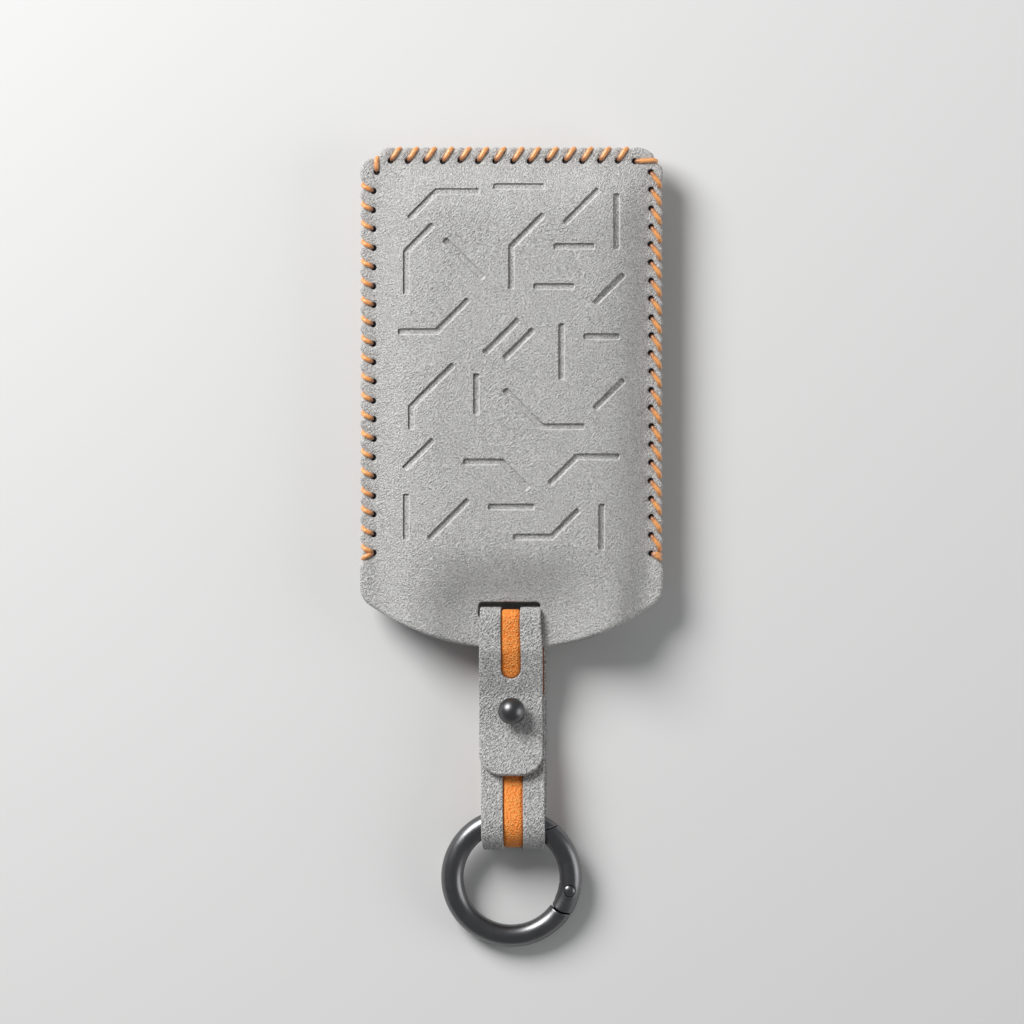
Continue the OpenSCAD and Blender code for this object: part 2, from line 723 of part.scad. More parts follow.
module ring_gate() {
    color("#59595b") ring_place() difference() {
        intersection() {
            wire_ring();
            gate_space(0, 0);
        }
        pin_place() {
            cylinder(r = nose_clear, h = 2 * cheek_z, center = true, $fn = 64);
            translate([0, -wire_d, -cheek_z]) cube([2 * gate_heel, 2 * wire_d, 2 * cheek_z]);
            cylinder(r = pin_r, h = 2 * wire_d, center = true, $fn = 48);
            at_pin_ends() cylinder(d = pin_seat_d, h = wire_r, $fn = 48);
            rotate([0, 0, 180 + bore_turn])
                rotate([0, 90, 0])
                    cylinder(d = plunger_d + 2 * plunger_fit, h = bore_end, $fn = 48);
        }
    }
}

// Places things on the floors of the two seats for the pin heads
pin_head_t = wire_r * 0.16;
pin_seat_z = wire_r - pin_head_t;
module at_pin_ends() {
    for (s = [-1, 1]) {
        scale([1, 1, s])
            translate([0, 0, pin_seat_z])
                children();
    }
}

// A head with straight sides up to the top of the wire and a dome above it
module pin_head() {
    head_r = pin_seat_d / 2 - pin_head_gap;
    dome_r = (pow(head_r, 2) + pow(pin_dome_h, 2)) / (2 * pin_dome_h);
    intersection() {
        cylinder(r = head_r, h = wire_r, $fn = 48);
        translate([0, 0, pin_head_t + pin_dome_h - dome_r]) sphere(r = dome_r, $fn = 96);
    }
}

module gate_pin() {
    color("#6a6a6c") ring_place() pin_place() {
        cylinder(r = pin_r, h = 2 * pin_seat_z, center = true, $fn = 48);
        at_pin_ends() pin_head();
    }
}

module gate_plunger() {
    color("#77777a") ring_place() pin_place() rotate([0, 0, 180 + bore_turn]) rotate([0, 90, 0])
        translate([0, 0, plunger_start]) cylinder(d = plunger_d, h = plunger_l, $fn = 48);
}

coil_steps = 8;
coil_count = spring_turns * coil_steps;
spring_start = plunger_end + face_gap + spring_wire_d / 2;
spring_line = [for (i = [0 : coil_count]) let (a = 360 * i / coil_steps)
    [spring_r * cos(a), spring_r * sin(a), spring_start + (spring_len - spring_wire_d) * i / coil_count]];

module gate_spring() {
    color("#8a8a8c") ring_place() pin_place() rotate([0, 0, 180 + bore_turn]) rotate([0, 90, 0])
        tube(spring_line, spring_wire_d / 2, 6, [1, 0, 0]);
}

front_panel();
back_panel();
front_lining();
back_lining();
edge_stitching();
strap_outer();
strap_liner();
ball_stud();
stud_screw();
ring_body();
ring_gate();
gate_pin();
gate_plunger();
gate_spring();
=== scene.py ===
import math

import bmesh
import bpy
import numpy as np
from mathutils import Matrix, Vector
from mathutils.geometry import delaunay_2d_cdt


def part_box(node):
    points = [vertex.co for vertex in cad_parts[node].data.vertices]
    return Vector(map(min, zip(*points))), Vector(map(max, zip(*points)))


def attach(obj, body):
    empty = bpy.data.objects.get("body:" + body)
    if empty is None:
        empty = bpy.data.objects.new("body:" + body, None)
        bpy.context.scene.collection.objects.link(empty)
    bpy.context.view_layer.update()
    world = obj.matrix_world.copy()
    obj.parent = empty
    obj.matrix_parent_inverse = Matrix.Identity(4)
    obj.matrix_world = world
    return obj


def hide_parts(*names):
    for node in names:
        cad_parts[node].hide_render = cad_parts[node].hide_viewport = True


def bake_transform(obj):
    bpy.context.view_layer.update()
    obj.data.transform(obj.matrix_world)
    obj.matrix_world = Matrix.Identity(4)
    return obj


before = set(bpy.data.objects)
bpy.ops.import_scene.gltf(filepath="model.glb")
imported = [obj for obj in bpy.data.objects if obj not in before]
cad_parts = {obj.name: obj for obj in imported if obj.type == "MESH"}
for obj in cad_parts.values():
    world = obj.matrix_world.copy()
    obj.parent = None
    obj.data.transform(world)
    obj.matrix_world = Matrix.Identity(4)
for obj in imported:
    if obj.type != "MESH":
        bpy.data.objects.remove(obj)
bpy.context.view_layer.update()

mm = 0.001  # shapes are worked out in millimetres and written in metres


# Plane geometry

def arc(cx, cy, r, start, end, count):
    angles = np.radians(np.linspace(start, end, count + 1))
    return np.column_stack((cx + r * np.cos(angles), cy + r * np.sin(angles)))


def unit(rows):
    # Each row at length 1
    return rows / np.linalg.norm(rows, axis=1)[:, None]


def reachAlong(line):
    # How far along a line each of its points lies
    return np.concatenate(([0], np.cumsum(np.linalg.norm(np.diff(line, axis=0), axis=1))))


def mirrored(points):
    return points[::-1] * np.array([-1.0, 1.0])


def resample(points, step, closed=True):
    line = np.vstack((points, points[:1])) if closed else np.asarray(points, float)
    reach = reachAlong(line)
    count = max(3, int(round(reach[-1] / step)))
    places = np.linspace(0, reach[-1], count + 1)
    if closed:
        places = places[:-1]
    return np.column_stack([np.interp(places, reach, column) for column in line.T])


def offsetLoop(loop, distance):
    # A closed counter-clockwise loop grows with a positive distance
    along = unit(np.roll(loop, -1, axis=0) - np.roll(loop, 1, axis=0))
    return loop + distance * np.column_stack((along[:, 1], -along[:, 0]))


def distanceToPath(points, path):
    best = np.full(len(points), 1e9)
    for a, b in zip(path[:-1], path[1:]):
        run = b - a
        t = np.clip(((points - a) @ run) / (run @ run), 0, 1)
        best = np.minimum(best, np.linalg.norm(points - a - t[:, None] * run, axis=1))
    return best


def insideLoops(points, loops):
    # Even and odd crossings, so holes count as outside
    odd = np.zeros(len(points), bool)
    for loop in loops:
        for a, b in zip(loop, np.roll(loop, -1, axis=0)):
            if a[1] == b[1]:
                continue
            crosses = (a[1] > points[:, 1]) != (b[1] > points[:, 1])
            border = a[0] + (points[:, 1] - a[1]) * (b[0] - a[0]) / (b[1] - a[1])
            odd ^= crosses & (points[:, 0] < border)
    return odd


def roundedRect(cx, cy, w, h, r, count=6):
    x = w / 2 - r
    y = h / 2 - r
    return np.vstack((
        arc(cx + x, cy + y, r, 0, 90, count), arc(cx - x, cy + y, r, 90, 180, count),
        arc(cx - x, cy - y, r, 180, 270, count), arc(cx + x, cy - y, r, 270, 360, count)))


def squareCap(middle, reach, start, count, power=5):
    # Half a rounded square, as the end of a stroke. A higher power makes it squarer
    angles = np.radians(np.linspace(start, start + 180, count + 1))
    turns = angles - math.radians(start)
    r = reach * (np.abs(np.cos(turns)) ** power + np.abs(np.sin(turns)) ** power) ** (-1 / power)
    return np.column_stack((middle[0] + r * np.cos(angles), middle[1] + r * np.sin(angles)))


def strokeLoop(path, reach, capCount=8):
    # The outline of a square-ended stroke along a path
    path = np.asarray(path, float)
    sides = []
    for line in (path, path[::-1]):
        ways = unit(np.diff(line, axis=0))
        rights = np.column_stack((ways[:, 1], -ways[:, 0]))
        side = [line[0] + reach * rights[0]]
        for k in range(1, len(line) - 1):
            middle = rights[k - 1] + rights[k]
            side.append(line[k] + reach * middle * 2 / (middle @ middle))
        end = math.degrees(math.atan2(rights[-1][1], rights[-1][0]))
        side.extend(squareCap(line[-1], reach, end, capCount)[:-1])
        sides.append(np.array(side))
    return np.vstack(sides)


def smoothStep(t):
    t = np.clip(t, 0, 1)
    return t * t * (3 - 2 * t)


def jitteredGrid(corner, step, seed, rowShare=0.87, wobble=0.12):
    # Staggered rows of points from minus the corner to the corner, each a little off its place
    rng = np.random.default_rng(seed)
    points = []
    for k, y in enumerate(np.arange(-corner[1], corner[1], step * rowShare)):
        xs = np.arange(-corner[0] + (step / 2 if k % 2 else 0), corner[0], step)
        points.append(np.column_stack((xs, np.full(len(xs), y))))
    points = np.vstack(points)
    return points + rng.uniform(-wobble * step, wobble * step, points.shape)


# A plan is a flat drawing of one face: points with a drop below the face and an amount of painted
# light, the edges that its triangles keep, and the loops where it is cut

def newPlan():
    return {"points": [], "drops": [], "tones": [], "edges": [], "cuts": [], "count": 0}


def addPoints(plan, points, drops=0.0, tones=0.0):
    plan["points"].append(points)
    for key, values in (("drops", drops), ("tones", tones)):
        plan[key].append(np.broadcast_to(np.asarray(values, float), (len(points),)).copy())
    plan["count"] += len(points)


def addLoop(plan, loop, drop=0.0, cut=False, paintedLight=0.0):
    ids = np.arange(plan["count"], plan["count"] + len(loop))
    addPoints(plan, loop, drop, paintedLight)
    plan["edges"].extend(zip(ids.tolist(), np.roll(ids, -1).tolist()))
    if cut:
        plan["cuts"].append(ids)


def addCut(plan, loop, roundOff, inward, shares=(0.12, 0.34, 0.64, 1.0)):
    # The cut itself, then rings on the material side that round its rim
    addLoop(plan, loop, roundOff, cut=True)
    for share in shares:
        drop = roundOff * (1 - math.sqrt(max(0.0, 1 - (1 - share) ** 2)))
        addLoop(plan, offsetLoop(loop, inward * share * roundOff), drop)


def triangulate(plan):
    points, drops, tones = (np.concatenate(plan[k]) for k in ("points", "drops", "tones"))
    made = delaunay_2d_cdt([Vector(p) for p in points.tolist()], plan["edges"], [], 0, 1e-7)
    spots = np.array([tuple(v) for v in made[0]])
    newOf = {}
    spotDrops, spotPaintedLights = np.zeros(len(spots)), np.zeros(len(spots))
    for new, olds in enumerate(made[3]):
        for old in olds:
            newOf[old] = new
            spotDrops[new] = drops[old]
            spotPaintedLights[new] = tones[old]
    faces = np.array(made[2])
    middles = spots[faces].mean(axis=1)
    faces = faces[insideLoops(middles, [points[ids] for ids in plan["cuts"]])]
    cuts = [np.array([newOf[k] for k in ids.tolist()]) for ids in plan["cuts"]]
    return spots, spotDrops, spotPaintedLights, faces, cuts


def addObject(name, data):
    made = bpy.data.objects.new(name, data)
    bpy.context.scene.collection.objects.link(made)
    return made


def meshObject(name, points, faces, masks):
    mesh = bpy.data.meshes.new(name)
    mesh.from_pydata((np.asarray(points) * mm).tolist(), [], [list(map(int, f)) for f in faces])
    work = bmesh.new()
    work.from_mesh(mesh)
    bmesh.ops.recalc_face_normals(work, faces=work.faces)
    work.to_mesh(mesh)
    work.free()
    for key, values in masks.items():
        layer = mesh.attributes.new(key, "FLOAT", "POINT")
        layer.data.foreach_set("value", np.asarray(values, np.float32))
    mesh.shade_smooth()
    return addObject(name, mesh)


def sheetObject(name, topPlan, lowPlan, place, thickness, wallShares=(0.3, 0.6)):
    # A sheet of material: top face, bottom face and the cut walls between them, with rows of
    # points on the walls at these shares of the thickness. The cut mask is 1 on the cut, and the
    # groove mask holds the painted highlight and painted shade of the debossed lines
    topSpots, topDrops, topPaintedLights, topFaces, topCuts = triangulate(topPlan)
    lowSpots, lowDrops, _, lowFaces, lowCuts = triangulate(lowPlan)
    points = [place(topSpots, topDrops), place(lowSpots, thickness - lowDrops)]
    cut = [np.zeros(len(topSpots)), np.zeros(len(lowSpots))]
    faces = topFaces.tolist() + (lowFaces[:, ::-1] + len(topSpots)).tolist()
    count = len(topSpots) + len(lowSpots)
    for topIds, lowIds in zip(topCuts, lowCuts):
        rows = [topIds]
        start = topDrops[topIds]
        end = thickness - lowDrops[lowIds]
        cut[0][topIds] = 1
        cut[1][lowIds] = 1
        for share in wallShares:
            points.append(place(topSpots[topIds], start + (end - start) * share))
            cut.append(np.ones(len(topIds)))
            rows.append(np.arange(count, count + len(topIds)))
            count += len(topIds)
        rows.append(lowIds + len(topSpots))
        for upper, lower in zip(rows[:-1], rows[1:]):
            ring = (upper, np.roll(upper, -1), np.roll(lower, -1), lower)
            faces += np.column_stack(ring).tolist()
    # Painted highlight and painted shade of the debossed lines, on the top face only
    pressed = np.concatenate((topPaintedLights, np.zeros(count - len(topPaintedLights))))
    masks = {"cutEdgeAndHoleShade": np.concatenate(cut), "pressed": pressed}
    return meshObject(name, np.vstack(points), faces, masks)


# Case: sizes in millimetres, the large ones read from the frame

caseCorner = np.array(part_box("front_panel")[1]) / mm

case = {
    # Outline
    "halfWidth": caseCorner[0],
    "halfLength": caseCorner[1],
    "topCornerRadius": 5.5,
    "hemCornerRadius": 4.0,
    "apronRadius": 50.0,
    "outlineStep": 0.4,
    # Layers, the height of the seam between the halves, and the dome
    "suede": 1.0,
    "lining": 0.6,
    "seam": 6.5,
    "frontCrown": 0.6,
    "backCrown": 0.12,
    "rim": 2.3,
    "wallAngle": 34.0,
    "toe": 2.0,
    "shoulder": 17.0,
    # The lips, where the dome falls towards the lower edge
    "dropStart": 20.5,
    "dropEnd": 5.5,
    "pinchGap": 0.2,
    "mouthGap": 4.2,
    "pinchHalfWidth": 7.4,
    "mouthX": 19.5,
    # Slot, rounded rims and stitch holes
    "slotWidth": 12.4,
    "slotHeight": 3.2,
    "slotTop": 9.0,
    "slotShift": -0.42,
    "slotCorner": 0.7,
    "edgeRound": 0.7,
    "slotRound": 0.3,
    "holeRadius": 0.6,
    "holeSides": 14,
    "holeRounds": ((0.07, 0.09), (0.2, 0.03)),  # reach and drop of the rings round a hole
    "holeDrop": 0.2,
    # The edge between the strands, and the rim that they press down
    "sideSwell": 0.3,
    "hemSwell": 0.45,
    "scallop": 0.6,
    "scallopWidth": 1.0,
    "threadPress": 0.3,
    "threadPressWidth": 0.65,
    "threadPressReach": 4.0,
    "straightDrop": 0.6,  # share of the suede in which a drop goes straight down
    "leanRun": 0.3,
    "restShare": 0.9,  # share of its depth that a layer of the back keeps above the table
    # Mesh: the slope is measured over this gap, and the grids stay clear of the cuts
    "slopeGap": 0.02,
    "grid": 0.62,
    "gridSeed": 5,
    "lowGrid": 1.1,
    "lowGridSeed": 9,
    "edgeClear": 0.15,
    "slotClear": 0.45,
    "holeClear": 0.42,
    # Unevenness of the moulded suede: height, pitch and shift of each wave
    "broadWave": (0.035, (0.31, 0.23), (1.7, 0.6)),
    "fineWave": (0.02, (0.83, 0.47)),
}
case["rimThickness"] = case["suede"] + case["lining"]
case["rise"] = case["seam"] - case["rimThickness"]
case["apronY"] = case["apronRadius"] - case["halfLength"]

stitching = {
    # Rows of holes, and how many there are
    "inset": 2.4,
    "topInset": 2.8,
    "rightInset": 2.1,
    "end": 18.8,
    "left": 21,
    "top": 15,
    "right": 22,
    # How far a strand leans along the edge, as a share of the pitch or of the inset
    "leftLean": 0.3,
    "topLean": 0.52,
    "rightLean": 0.78,
    "leftCornerLean": 1.25,
    "rightCornerLean": 1.7,
    "cornerDrop": 0.9,
    "topStart": 1.4,
    "topEnd": 1.2,
    # A hand made row: holes off their place, a corner drawn in and tacks at the ends
    "seed": 21,
    "wander": 0.1,
    "cornerShift": 0.75,
    "cornerDent": 1.1,
    "cornerDentWidth": 1.8,
    "tackSpread": 1.1,
    "startTack": 1.0,
    "endTacks": (0.2, 0.95),
    # The thread, thinner in the holes and over the edge, and its way from hole to hole
    "radius": 0.47,
    "holeThreadRadius": 0.41,
    "edgeThreadRadius": 0.42,
    "flatEnd": 0.96,
    "holeLean": 0.48,
    "holeDepth": 0.55,
    "holeTail": 0.2,
    "rise": 0.45,
    "riseSink": 0.1,
    "archAt": 0.6,
    "archLift": 0.04,
    "turn": 0.75,
    "turnSink": 0.06,
    "edgeShare": 0.6,
    "edgeBulge": 0.04,
    "edgeSink": 0.3,
    # Painted shade on each strand: full up to the first reach from either end, gone at the second
    "holeShadeStart": 1.7,
    "holeShadeEnd": 2.9,
    "sink": 0.08,
    # Mesh and twist
    "sides": 16,
    "step": 0.2,
    "plies": 2,
    "plyDepth": 0.05,
    "plyPitch": 2.1,
}


def stitchPlan():
    # Holes from the lower left over the top to the lower right, and the strands that run from
    # them over the edge
    s = stitching
    x = case["halfWidth"] - s["inset"]
    rightX = case["halfWidth"] - s["rightInset"]
    topY = case["halfLength"] - s["topInset"]
    lowY = s["end"] - case["halfLength"]
    sideTop = topY - s["inset"] * s["cornerDrop"]
    topLeft = -x + s["inset"] * s["topStart"]
    topRight = x - s["inset"] * s["topEnd"]
    left = [(-x, y) for y in np.linspace(lowY, sideTop, s["left"])]
    top = [(tx, topY) for tx in np.linspace(topLeft, topRight, s["top"])]
    right = [(rightX, y) for y in np.linspace(sideTop, lowY, s["right"])]
    left[-1] = (left[-1][0] + s["cornerShift"], left[-1][1])
    leftPitch = (sideTop - lowY) / (s["left"] - 1)
    topPitch = (topRight - topLeft) / (s["top"] - 1)
    rightPitch = (sideTop - lowY) / (s["right"] - 1)
    leans = [(0, s["leftLean"] * leftPitch)] * (s["left"] - 1)
    leans += [(0, s["inset"] * s["leftCornerLean"])]
    leans += [(s["topLean"] * topPitch, 0)] * (s["top"] - 1)
    leans += [(s["inset"] * s["rightCornerLean"], 0)]
    leans += [(0, -s["rightLean"] * rightPitch)] * (s["right"] - 1)
    rng = np.random.default_rng(s["seed"])
    holes = np.array(left + top + right)
    holes += rng.uniform(-s["wander"], s["wander"], holes.shape)

    def tack(hole, share):
        return hole, hole + np.array((0, -share * s["tackSpread"])), hole

    # Both ends are tacked by strands that come back to the same hole
    strands = [tack(holes[0], s["startTack"])]
    for k, lean in enumerate(leans):
        strands.append((holes[k], holes[k] + np.array(lean), holes[k + 1]))
    strands += [tack(holes[-1], share) for share in s["endTacks"]]
    placed = []
    for k, (hole, aim, following) in enumerate(strands):
        # The strand round the upper left corner draws the edge in deeper
        crossing, outward = edgePlace(aim)
        dent = s["cornerDent"] if k == s["left"] else 0.0
        placed.append({"hole": hole, "crossing": np.array(crossing), "outward": np.array(outward),
                       "following": following, "dent": dent})
    return holes, placed


def edgePlace(p):
    # The nearest place on the stitched edge and the way out of it
    corner = np.array([case["halfWidth"], case["halfLength"]]) - case["topCornerRadius"]
    side = -1.0 if p[0] < 0 else 1.0
    v = np.array([abs(p[0]), p[1]]) - corner
    if v[0] > 0 and v[1] > 0:
        n = v / np.linalg.norm(v)
        q = corner + case["topCornerRadius"] * n
        return (side * q[0], q[1]), (side * n[0], n[1])
    if v[1] > 0:
        return (p[0], case["halfLength"]), (0.0, 1.0)
    return (side * case["halfWidth"], p[1]), (side, 0.0)


holes, strands = stitchPlan()


def caseOutline(step):
    c = case
    hemX = c["halfWidth"] - c["hemCornerRadius"]
    hemY = c["apronY"] - math.sqrt((c["apronRadius"] - c["hemCornerRadius"]) ** 2 - hemX ** 2)
    hemAngle = math.degrees(math.atan2(hemY - c["apronY"], hemX))
    cornerX = c["halfWidth"] - c["topCornerRadius"]
    cornerY = c["halfLength"] - c["topCornerRadius"]
    half = np.vstack((
        arc(0, c["apronY"], c["apronRadius"], -90, hemAngle, 60),
        arc(hemX, hemY, c["hemCornerRadius"], hemAngle, 0, 16),
        arc(cornerX, cornerY, c["topCornerRadius"], 0, 90, 24)))
    return resample(np.vstack((half, mirrored(half)))[:-1], step)


def scalloped(loop):
    # The edge swells out, and the thread draws it in where it crosses
    outward = offsetLoop(loop, 1) - loop
    swell = case["sideSwell"] * outward[:, 0] ** 2
    swell = swell + case["hemSwell"] * np.clip(-outward[:, 1], 0, 1) ** 2
    pull, dent = np.zeros(len(loop)), np.zeros(len(loop))
    for strand in strands:
        away = np.linalg.norm(loop - strand["crossing"], axis=1)
        pull += np.exp(-(away / case["scallopWidth"]) ** 2)
        dent += strand["dent"] * np.exp(-(away / stitching["cornerDentWidth"]) ** 2)
    pull = np.minimum(pull, 1)
    return loop + outward * (swell * (1 - pull) - case["scallop"] * pull - dent)[:, None]


def wallHeight(d):
    c = case
    slope = math.radians(c["wallAngle"])
    toeRun = c["toe"] * math.sin(slope)
    toeRise = c["toe"] * (1 - math.cos(slope))
    straight = (c["rise"] - (c["toe"] + c["shoulder"]) * (1 - math.cos(slope))) / math.tan(slope)
    start = toeRun + straight
    end = start + c["shoulder"] * math.sin(slope)
    onToe = c["toe"] - np.sqrt(np.maximum(0, c["toe"] ** 2 - np.clip(d, 0, toeRun) ** 2))
    onWall = toeRise + (d - toeRun) * math.tan(slope)
    onShoulder = c["rise"] - c["shoulder"] + np.sqrt(
        np.maximum(0, c["shoulder"] ** 2 - np.clip(end - d, 0, None) ** 2))
    zones = [d <= 0, d < toeRun, d < start, d < end]
    return np.select(zones, [0 * d, onToe, onWall, onShoulder], c["rise"])


def domeHeight(x, y):
    # The dome falls to the rim on both sides and at the closed end
    c = case
    inX = c["halfWidth"] - c["rim"] - np.abs(x)
    inY = c["halfLength"] - c["rim"] - y
    return wallHeight(inX) * wallHeight(inY) / c["rise"]


def lipHeight(x):
    # The lips are pinched together over the strap and open beside it
    c = case
    u = np.abs(x)
    footX = c["halfWidth"] - c["rim"]

    def wave(start, end):
        return (1 - np.cos(np.pi * (u - start) / (end - start))) / 2

    spread = c["mouthGap"] - c["pinchGap"]
    opening = c["pinchGap"] + spread * wave(c["pinchHalfWidth"], c["mouthX"])
    closing = c["mouthGap"] * (1 - wave(c["mouthX"], footX))
    zones = [u < c["pinchHalfWidth"], u < c["mouthX"], u < footX]
    return np.select(zones, [c["pinchGap"] + 0 * u, opening, closing], 0.0)


def panelHeight(x, y, crown):
    c = case
    low = c["dropEnd"] - c["halfLength"]
    high = c["dropStart"] - c["halfLength"]
    s = smoothStep((y - low) / (high - low))
    base = lipHeight(x) * (1 - s) + domeHeight(x, y) * s
    swell = crown / c["rise"] * s * np.cos(np.pi / 2 * np.minimum(np.abs(x) / c["halfWidth"], 1))
    swell = swell * np.cos(np.pi / 2 * np.minimum(np.abs(y) / c["halfLength"], 1))
    return base * (1 + swell)


def pressUnderThread(spots):
    # The rim sinks under each strand
    c = case
    sunk = np.zeros(len(spots))
    near = np.abs(spots[:, 0]) > c["halfWidth"] - c["threadPressReach"]
    near |= spots[:, 1] > c["halfLength"] - c["threadPressReach"]
    picked = spots[near]
    best = np.full(len(picked), 1e9)
    for strand in strands:
        line = np.array([strand["hole"], strand["crossing"]])
        best = np.minimum(best, distanceToPath(picked, line))
    sunk[near] = c["threadPress"] * np.exp(-(best / c["threadPressWidth"]) ** 2)
    return sunk


def panelPlacer(side, crown, soft):
    # Puts a plan on the moulded face: side is 1 for the front and -1 for the back
    c = case
    e = c["slopeGap"]

    def place(spots, depth):
        x, y = spots[:, 0], spots[:, 1]
        dx = (panelHeight(x + e, y, crown) - panelHeight(x - e, y, crown)) / (2 * e)
        dy = (panelHeight(x, y + e, crown) - panelHeight(x, y - e, crown)) / (2 * e)
        n = unit(np.column_stack((-dx, -dy, np.ones(len(x)))))
        depth = np.broadcast_to(np.asarray(depth, float), (len(x),))
        z = c["rimThickness"] + panelHeight(x, y, crown)
        # Shallow drops go straight down, so that debossed walls face the front on the slopes
        lean = (depth - c["suede"] * c["straightDrop"]) / (c["suede"] * c["leanRun"])
        lean = smoothStep(lean)[:, None]
        way = n * lean + np.array([0.0, 0.0, 1.0]) * (1 - lean)
        points = np.column_stack((x, y, z)) - (depth + soft(spots, depth))[:, None] * way
        points[:, 2] = c["seam"] + side * points[:, 2]
        if side < 0:
            points[:, 2] = np.maximum(points[:, 2], depth * c["restShare"])
        return points

    return place


# Debossed lines on the front: plain open strokes, in millimetres from the middle

deboss = {
    # Profile: reach from the middle, slide to the upper left, drop, painted highlight on the lower
    # right wall and painted shade on the upper left wall
    "steps": [
        (0.86, 0.0, 0.0, 0.0, 0.0), (0.7, 0.0, 0.0, 0.0, 0.0), (0.66, 0.0, 0.03, 0.8, 0.3),
        (0.62, 0.03, 0.17, 0.8, 1.7), (0.56, 0.07, 0.4, 0.7, 2.0), (0.5, 0.12, 0.54, 0.0, 1.2),
        (0.44, 0.12, 0.55, 0.0, 0.0)],
    "slide": (-0.707, 0.707),
    "facing": 1.5,
    "depth": 0.55,
    "sideStep": 1.0,
    "spineStep": 0.6,
    "clear": 0.2,
    "strokes": [
        [(-20, 36), (-15, 41), (-7, 41)], [(-3, 42), (6, 42)], [(11, 35), (17, 41)],
        [(21, 40), (21, 30)], [(-16, 34), (-21, 29), (-21, 21)], [(-13, 31), (-6, 24)],
        [(6, 36), (0, 30), (0, 22)], [(5, 22), (12, 22)], [(9, 30), (16, 30)],
        [(17, 19), (22, 24)], [(-22, 13), (-15, 13), (-9, 19)], [(-5, 9), (1, 15)],
        [(-1, 8), (4, 13)], [(10, 14), (10, 4)], [(15, 12), (21, 12)],
        [(-12, 6), (-20, -2), (-20, -6)], [(-7, 4), (-7, -3)], [(-1, 1), (6, -6), (14, -6)],
        [(17, -2), (22, 3)], [(-21, -14), (-16, -9)], [(-9, -13), (-2, -13), (3, -18)],
        [(8, -17), (13, -12), (21, -12)], [(-21, -20), (-21, -28)], [(-16, -28), (-9, -21)],
        [(-4, -22), (4, -22)], [(1, -28), (8, -28), (13, -23)], [(18, -22), (18, -30)],
    ],
}


def addStroke(plan, path):
    # One debossed stroke: its lower right wall, which faces the light, gets a painted highlight,
    # and its steep upper left wall, turned away from the light, ends in painted shade
    slide = np.array(deboss["slide"])
    for reach, move, drop, paintedHighlight, paintedShade in deboss["steps"]:
        loop = denser(strokeLoop(path + slide * move, reach), deboss["sideStep"])
        # How much each point faces the upper left, where the light comes from: painted shade goes
        # on that side of the groove, painted highlight on the lower right side
        facing = np.clip(deboss["facing"] * (offsetLoop(loop, 1) - loop) @ slide, -1, 1)
        paintedLight = paintedHighlight * np.clip(-facing, 0, 1) - paintedShade * np.clip(facing, 0, 1)
        addLoop(plan, loop, drop, paintedLight=paintedLight)
    spine = path + slide * deboss["steps"][-1][1]
    addPoints(plan, resample(spine, deboss["spineStep"], closed=False), deboss["depth"])


def panelPlans(frontFace, pierced=True):
    c = case
    outline = scalloped(caseOutline(c["outlineStep"]))
    slotY = c["slotTop"] - c["halfLength"] - c["slotHeight"] / 2
    slot = roundedRect(c["slotShift"], slotY, c["slotWidth"], c["slotHeight"], c["slotCorner"])
    slot = resample(slot, c["outlineStep"])
    middles = holes if pierced else []
    holeLoops = [arc(*middle, c["holeRadius"], 0, 360, c["holeSides"])[:-1] for middle in middles]
    top, low = newPlan(), newPlan()
    addCut(top, outline, c["edgeRound"], -1)
    addCut(top, slot, c["slotRound"], 1)
    for loop in holeLoops:
        addLoop(top, loop, c["holeDrop"], cut=True)
        for reach, drop in c["holeRounds"]:
            addLoop(top, offsetLoop(loop, reach), drop)
    corner = np.array([c["halfWidth"], c["halfLength"]])
    inner = offsetLoop(outline, -c["edgeRound"] - c["edgeClear"])
    aroundSlot = offsetLoop(slot, c["slotClear"])

    def spread(step, seed):
        # Points over the whole panel, clear of its edge, slot and holes
        grid = jitteredGrid(corner, step, seed)
        grid = grid[insideLoops(grid, [inner])]
        grid = grid[~insideLoops(grid, [aroundSlot])]
        for middle in middles:
            away = np.linalg.norm(grid - middle, axis=1)
            grid = grid[away > c["holeRadius"] + c["holeClear"]]
        return grid

    grid = spread(c["grid"], c["gridSeed"])
    if frontFace:
        nearest = np.full(len(grid), 1e9)
        for stroke in deboss["strokes"]:
            path = np.asarray(stroke, float)
            nearest = np.minimum(nearest, distanceToPath(grid, path))
            addStroke(top, path)
        grid = grid[nearest > deboss["steps"][0][0] + deboss["clear"]]
    addPoints(top, grid)
    for loop in (outline, slot, *holeLoops):
        addLoop(low, loop, cut=True)
    addPoints(low, spread(c["lowGrid"], c["lowGridSeed"]))
    return top, low


def denser(loop, step):
    # Splits the long sides of a loop
    points = []
    for a, b in zip(loop, np.roll(loop, -1, axis=0)):
        count = max(1, int(math.ceil(np.linalg.norm(b - a) / step)))
        points.extend(a + (b - a) * k / count for k in range(count))
    return np.array(points)


def pressedUnder(spots, depth):
    # The press of the thread fades through the suede
    return pressUnderThread(spots) * np.clip(1 - depth / case["suede"], 0, 1)


def unevenFront(spots, depth):
    x, y = spots[:, 0], spots[:, 1]
    broad, (broadX, broadY), (shiftX, shiftY) = case["broadWave"]
    fine, (fineX, fineY) = case["fineWave"]
    waves = broad * np.sin(x * broadX + shiftX) * np.sin(y * broadY + shiftY)
    waves = waves + fine * np.sin(x * fineX + y * fineY)
    return (waves + pressUnderThread(spots)) * np.clip(1 - depth / case["suede"], 0, 1)


def even(spots, depth):
    return np.zeros(len(spots))


def makePanels():
    made = []
    for name, side, crown, soft in (
            ("frontPanel", 1, case["frontCrown"], unevenFront),
            ("backPanel", -1, case["backCrown"], pressedUnder)):
        place = panelPlacer(side, crown, soft)
        made.append(sheetObject(name, *panelPlans(side > 0), place, case["suede"]))
    print("panels", *(len(piece.data.vertices) for piece in made))
    return made


# Strap: it runs from the tab tip through the slots and round the ring, as y and z in millimetres

studLow, studHigh = (np.array(v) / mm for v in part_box("ball_stud"))

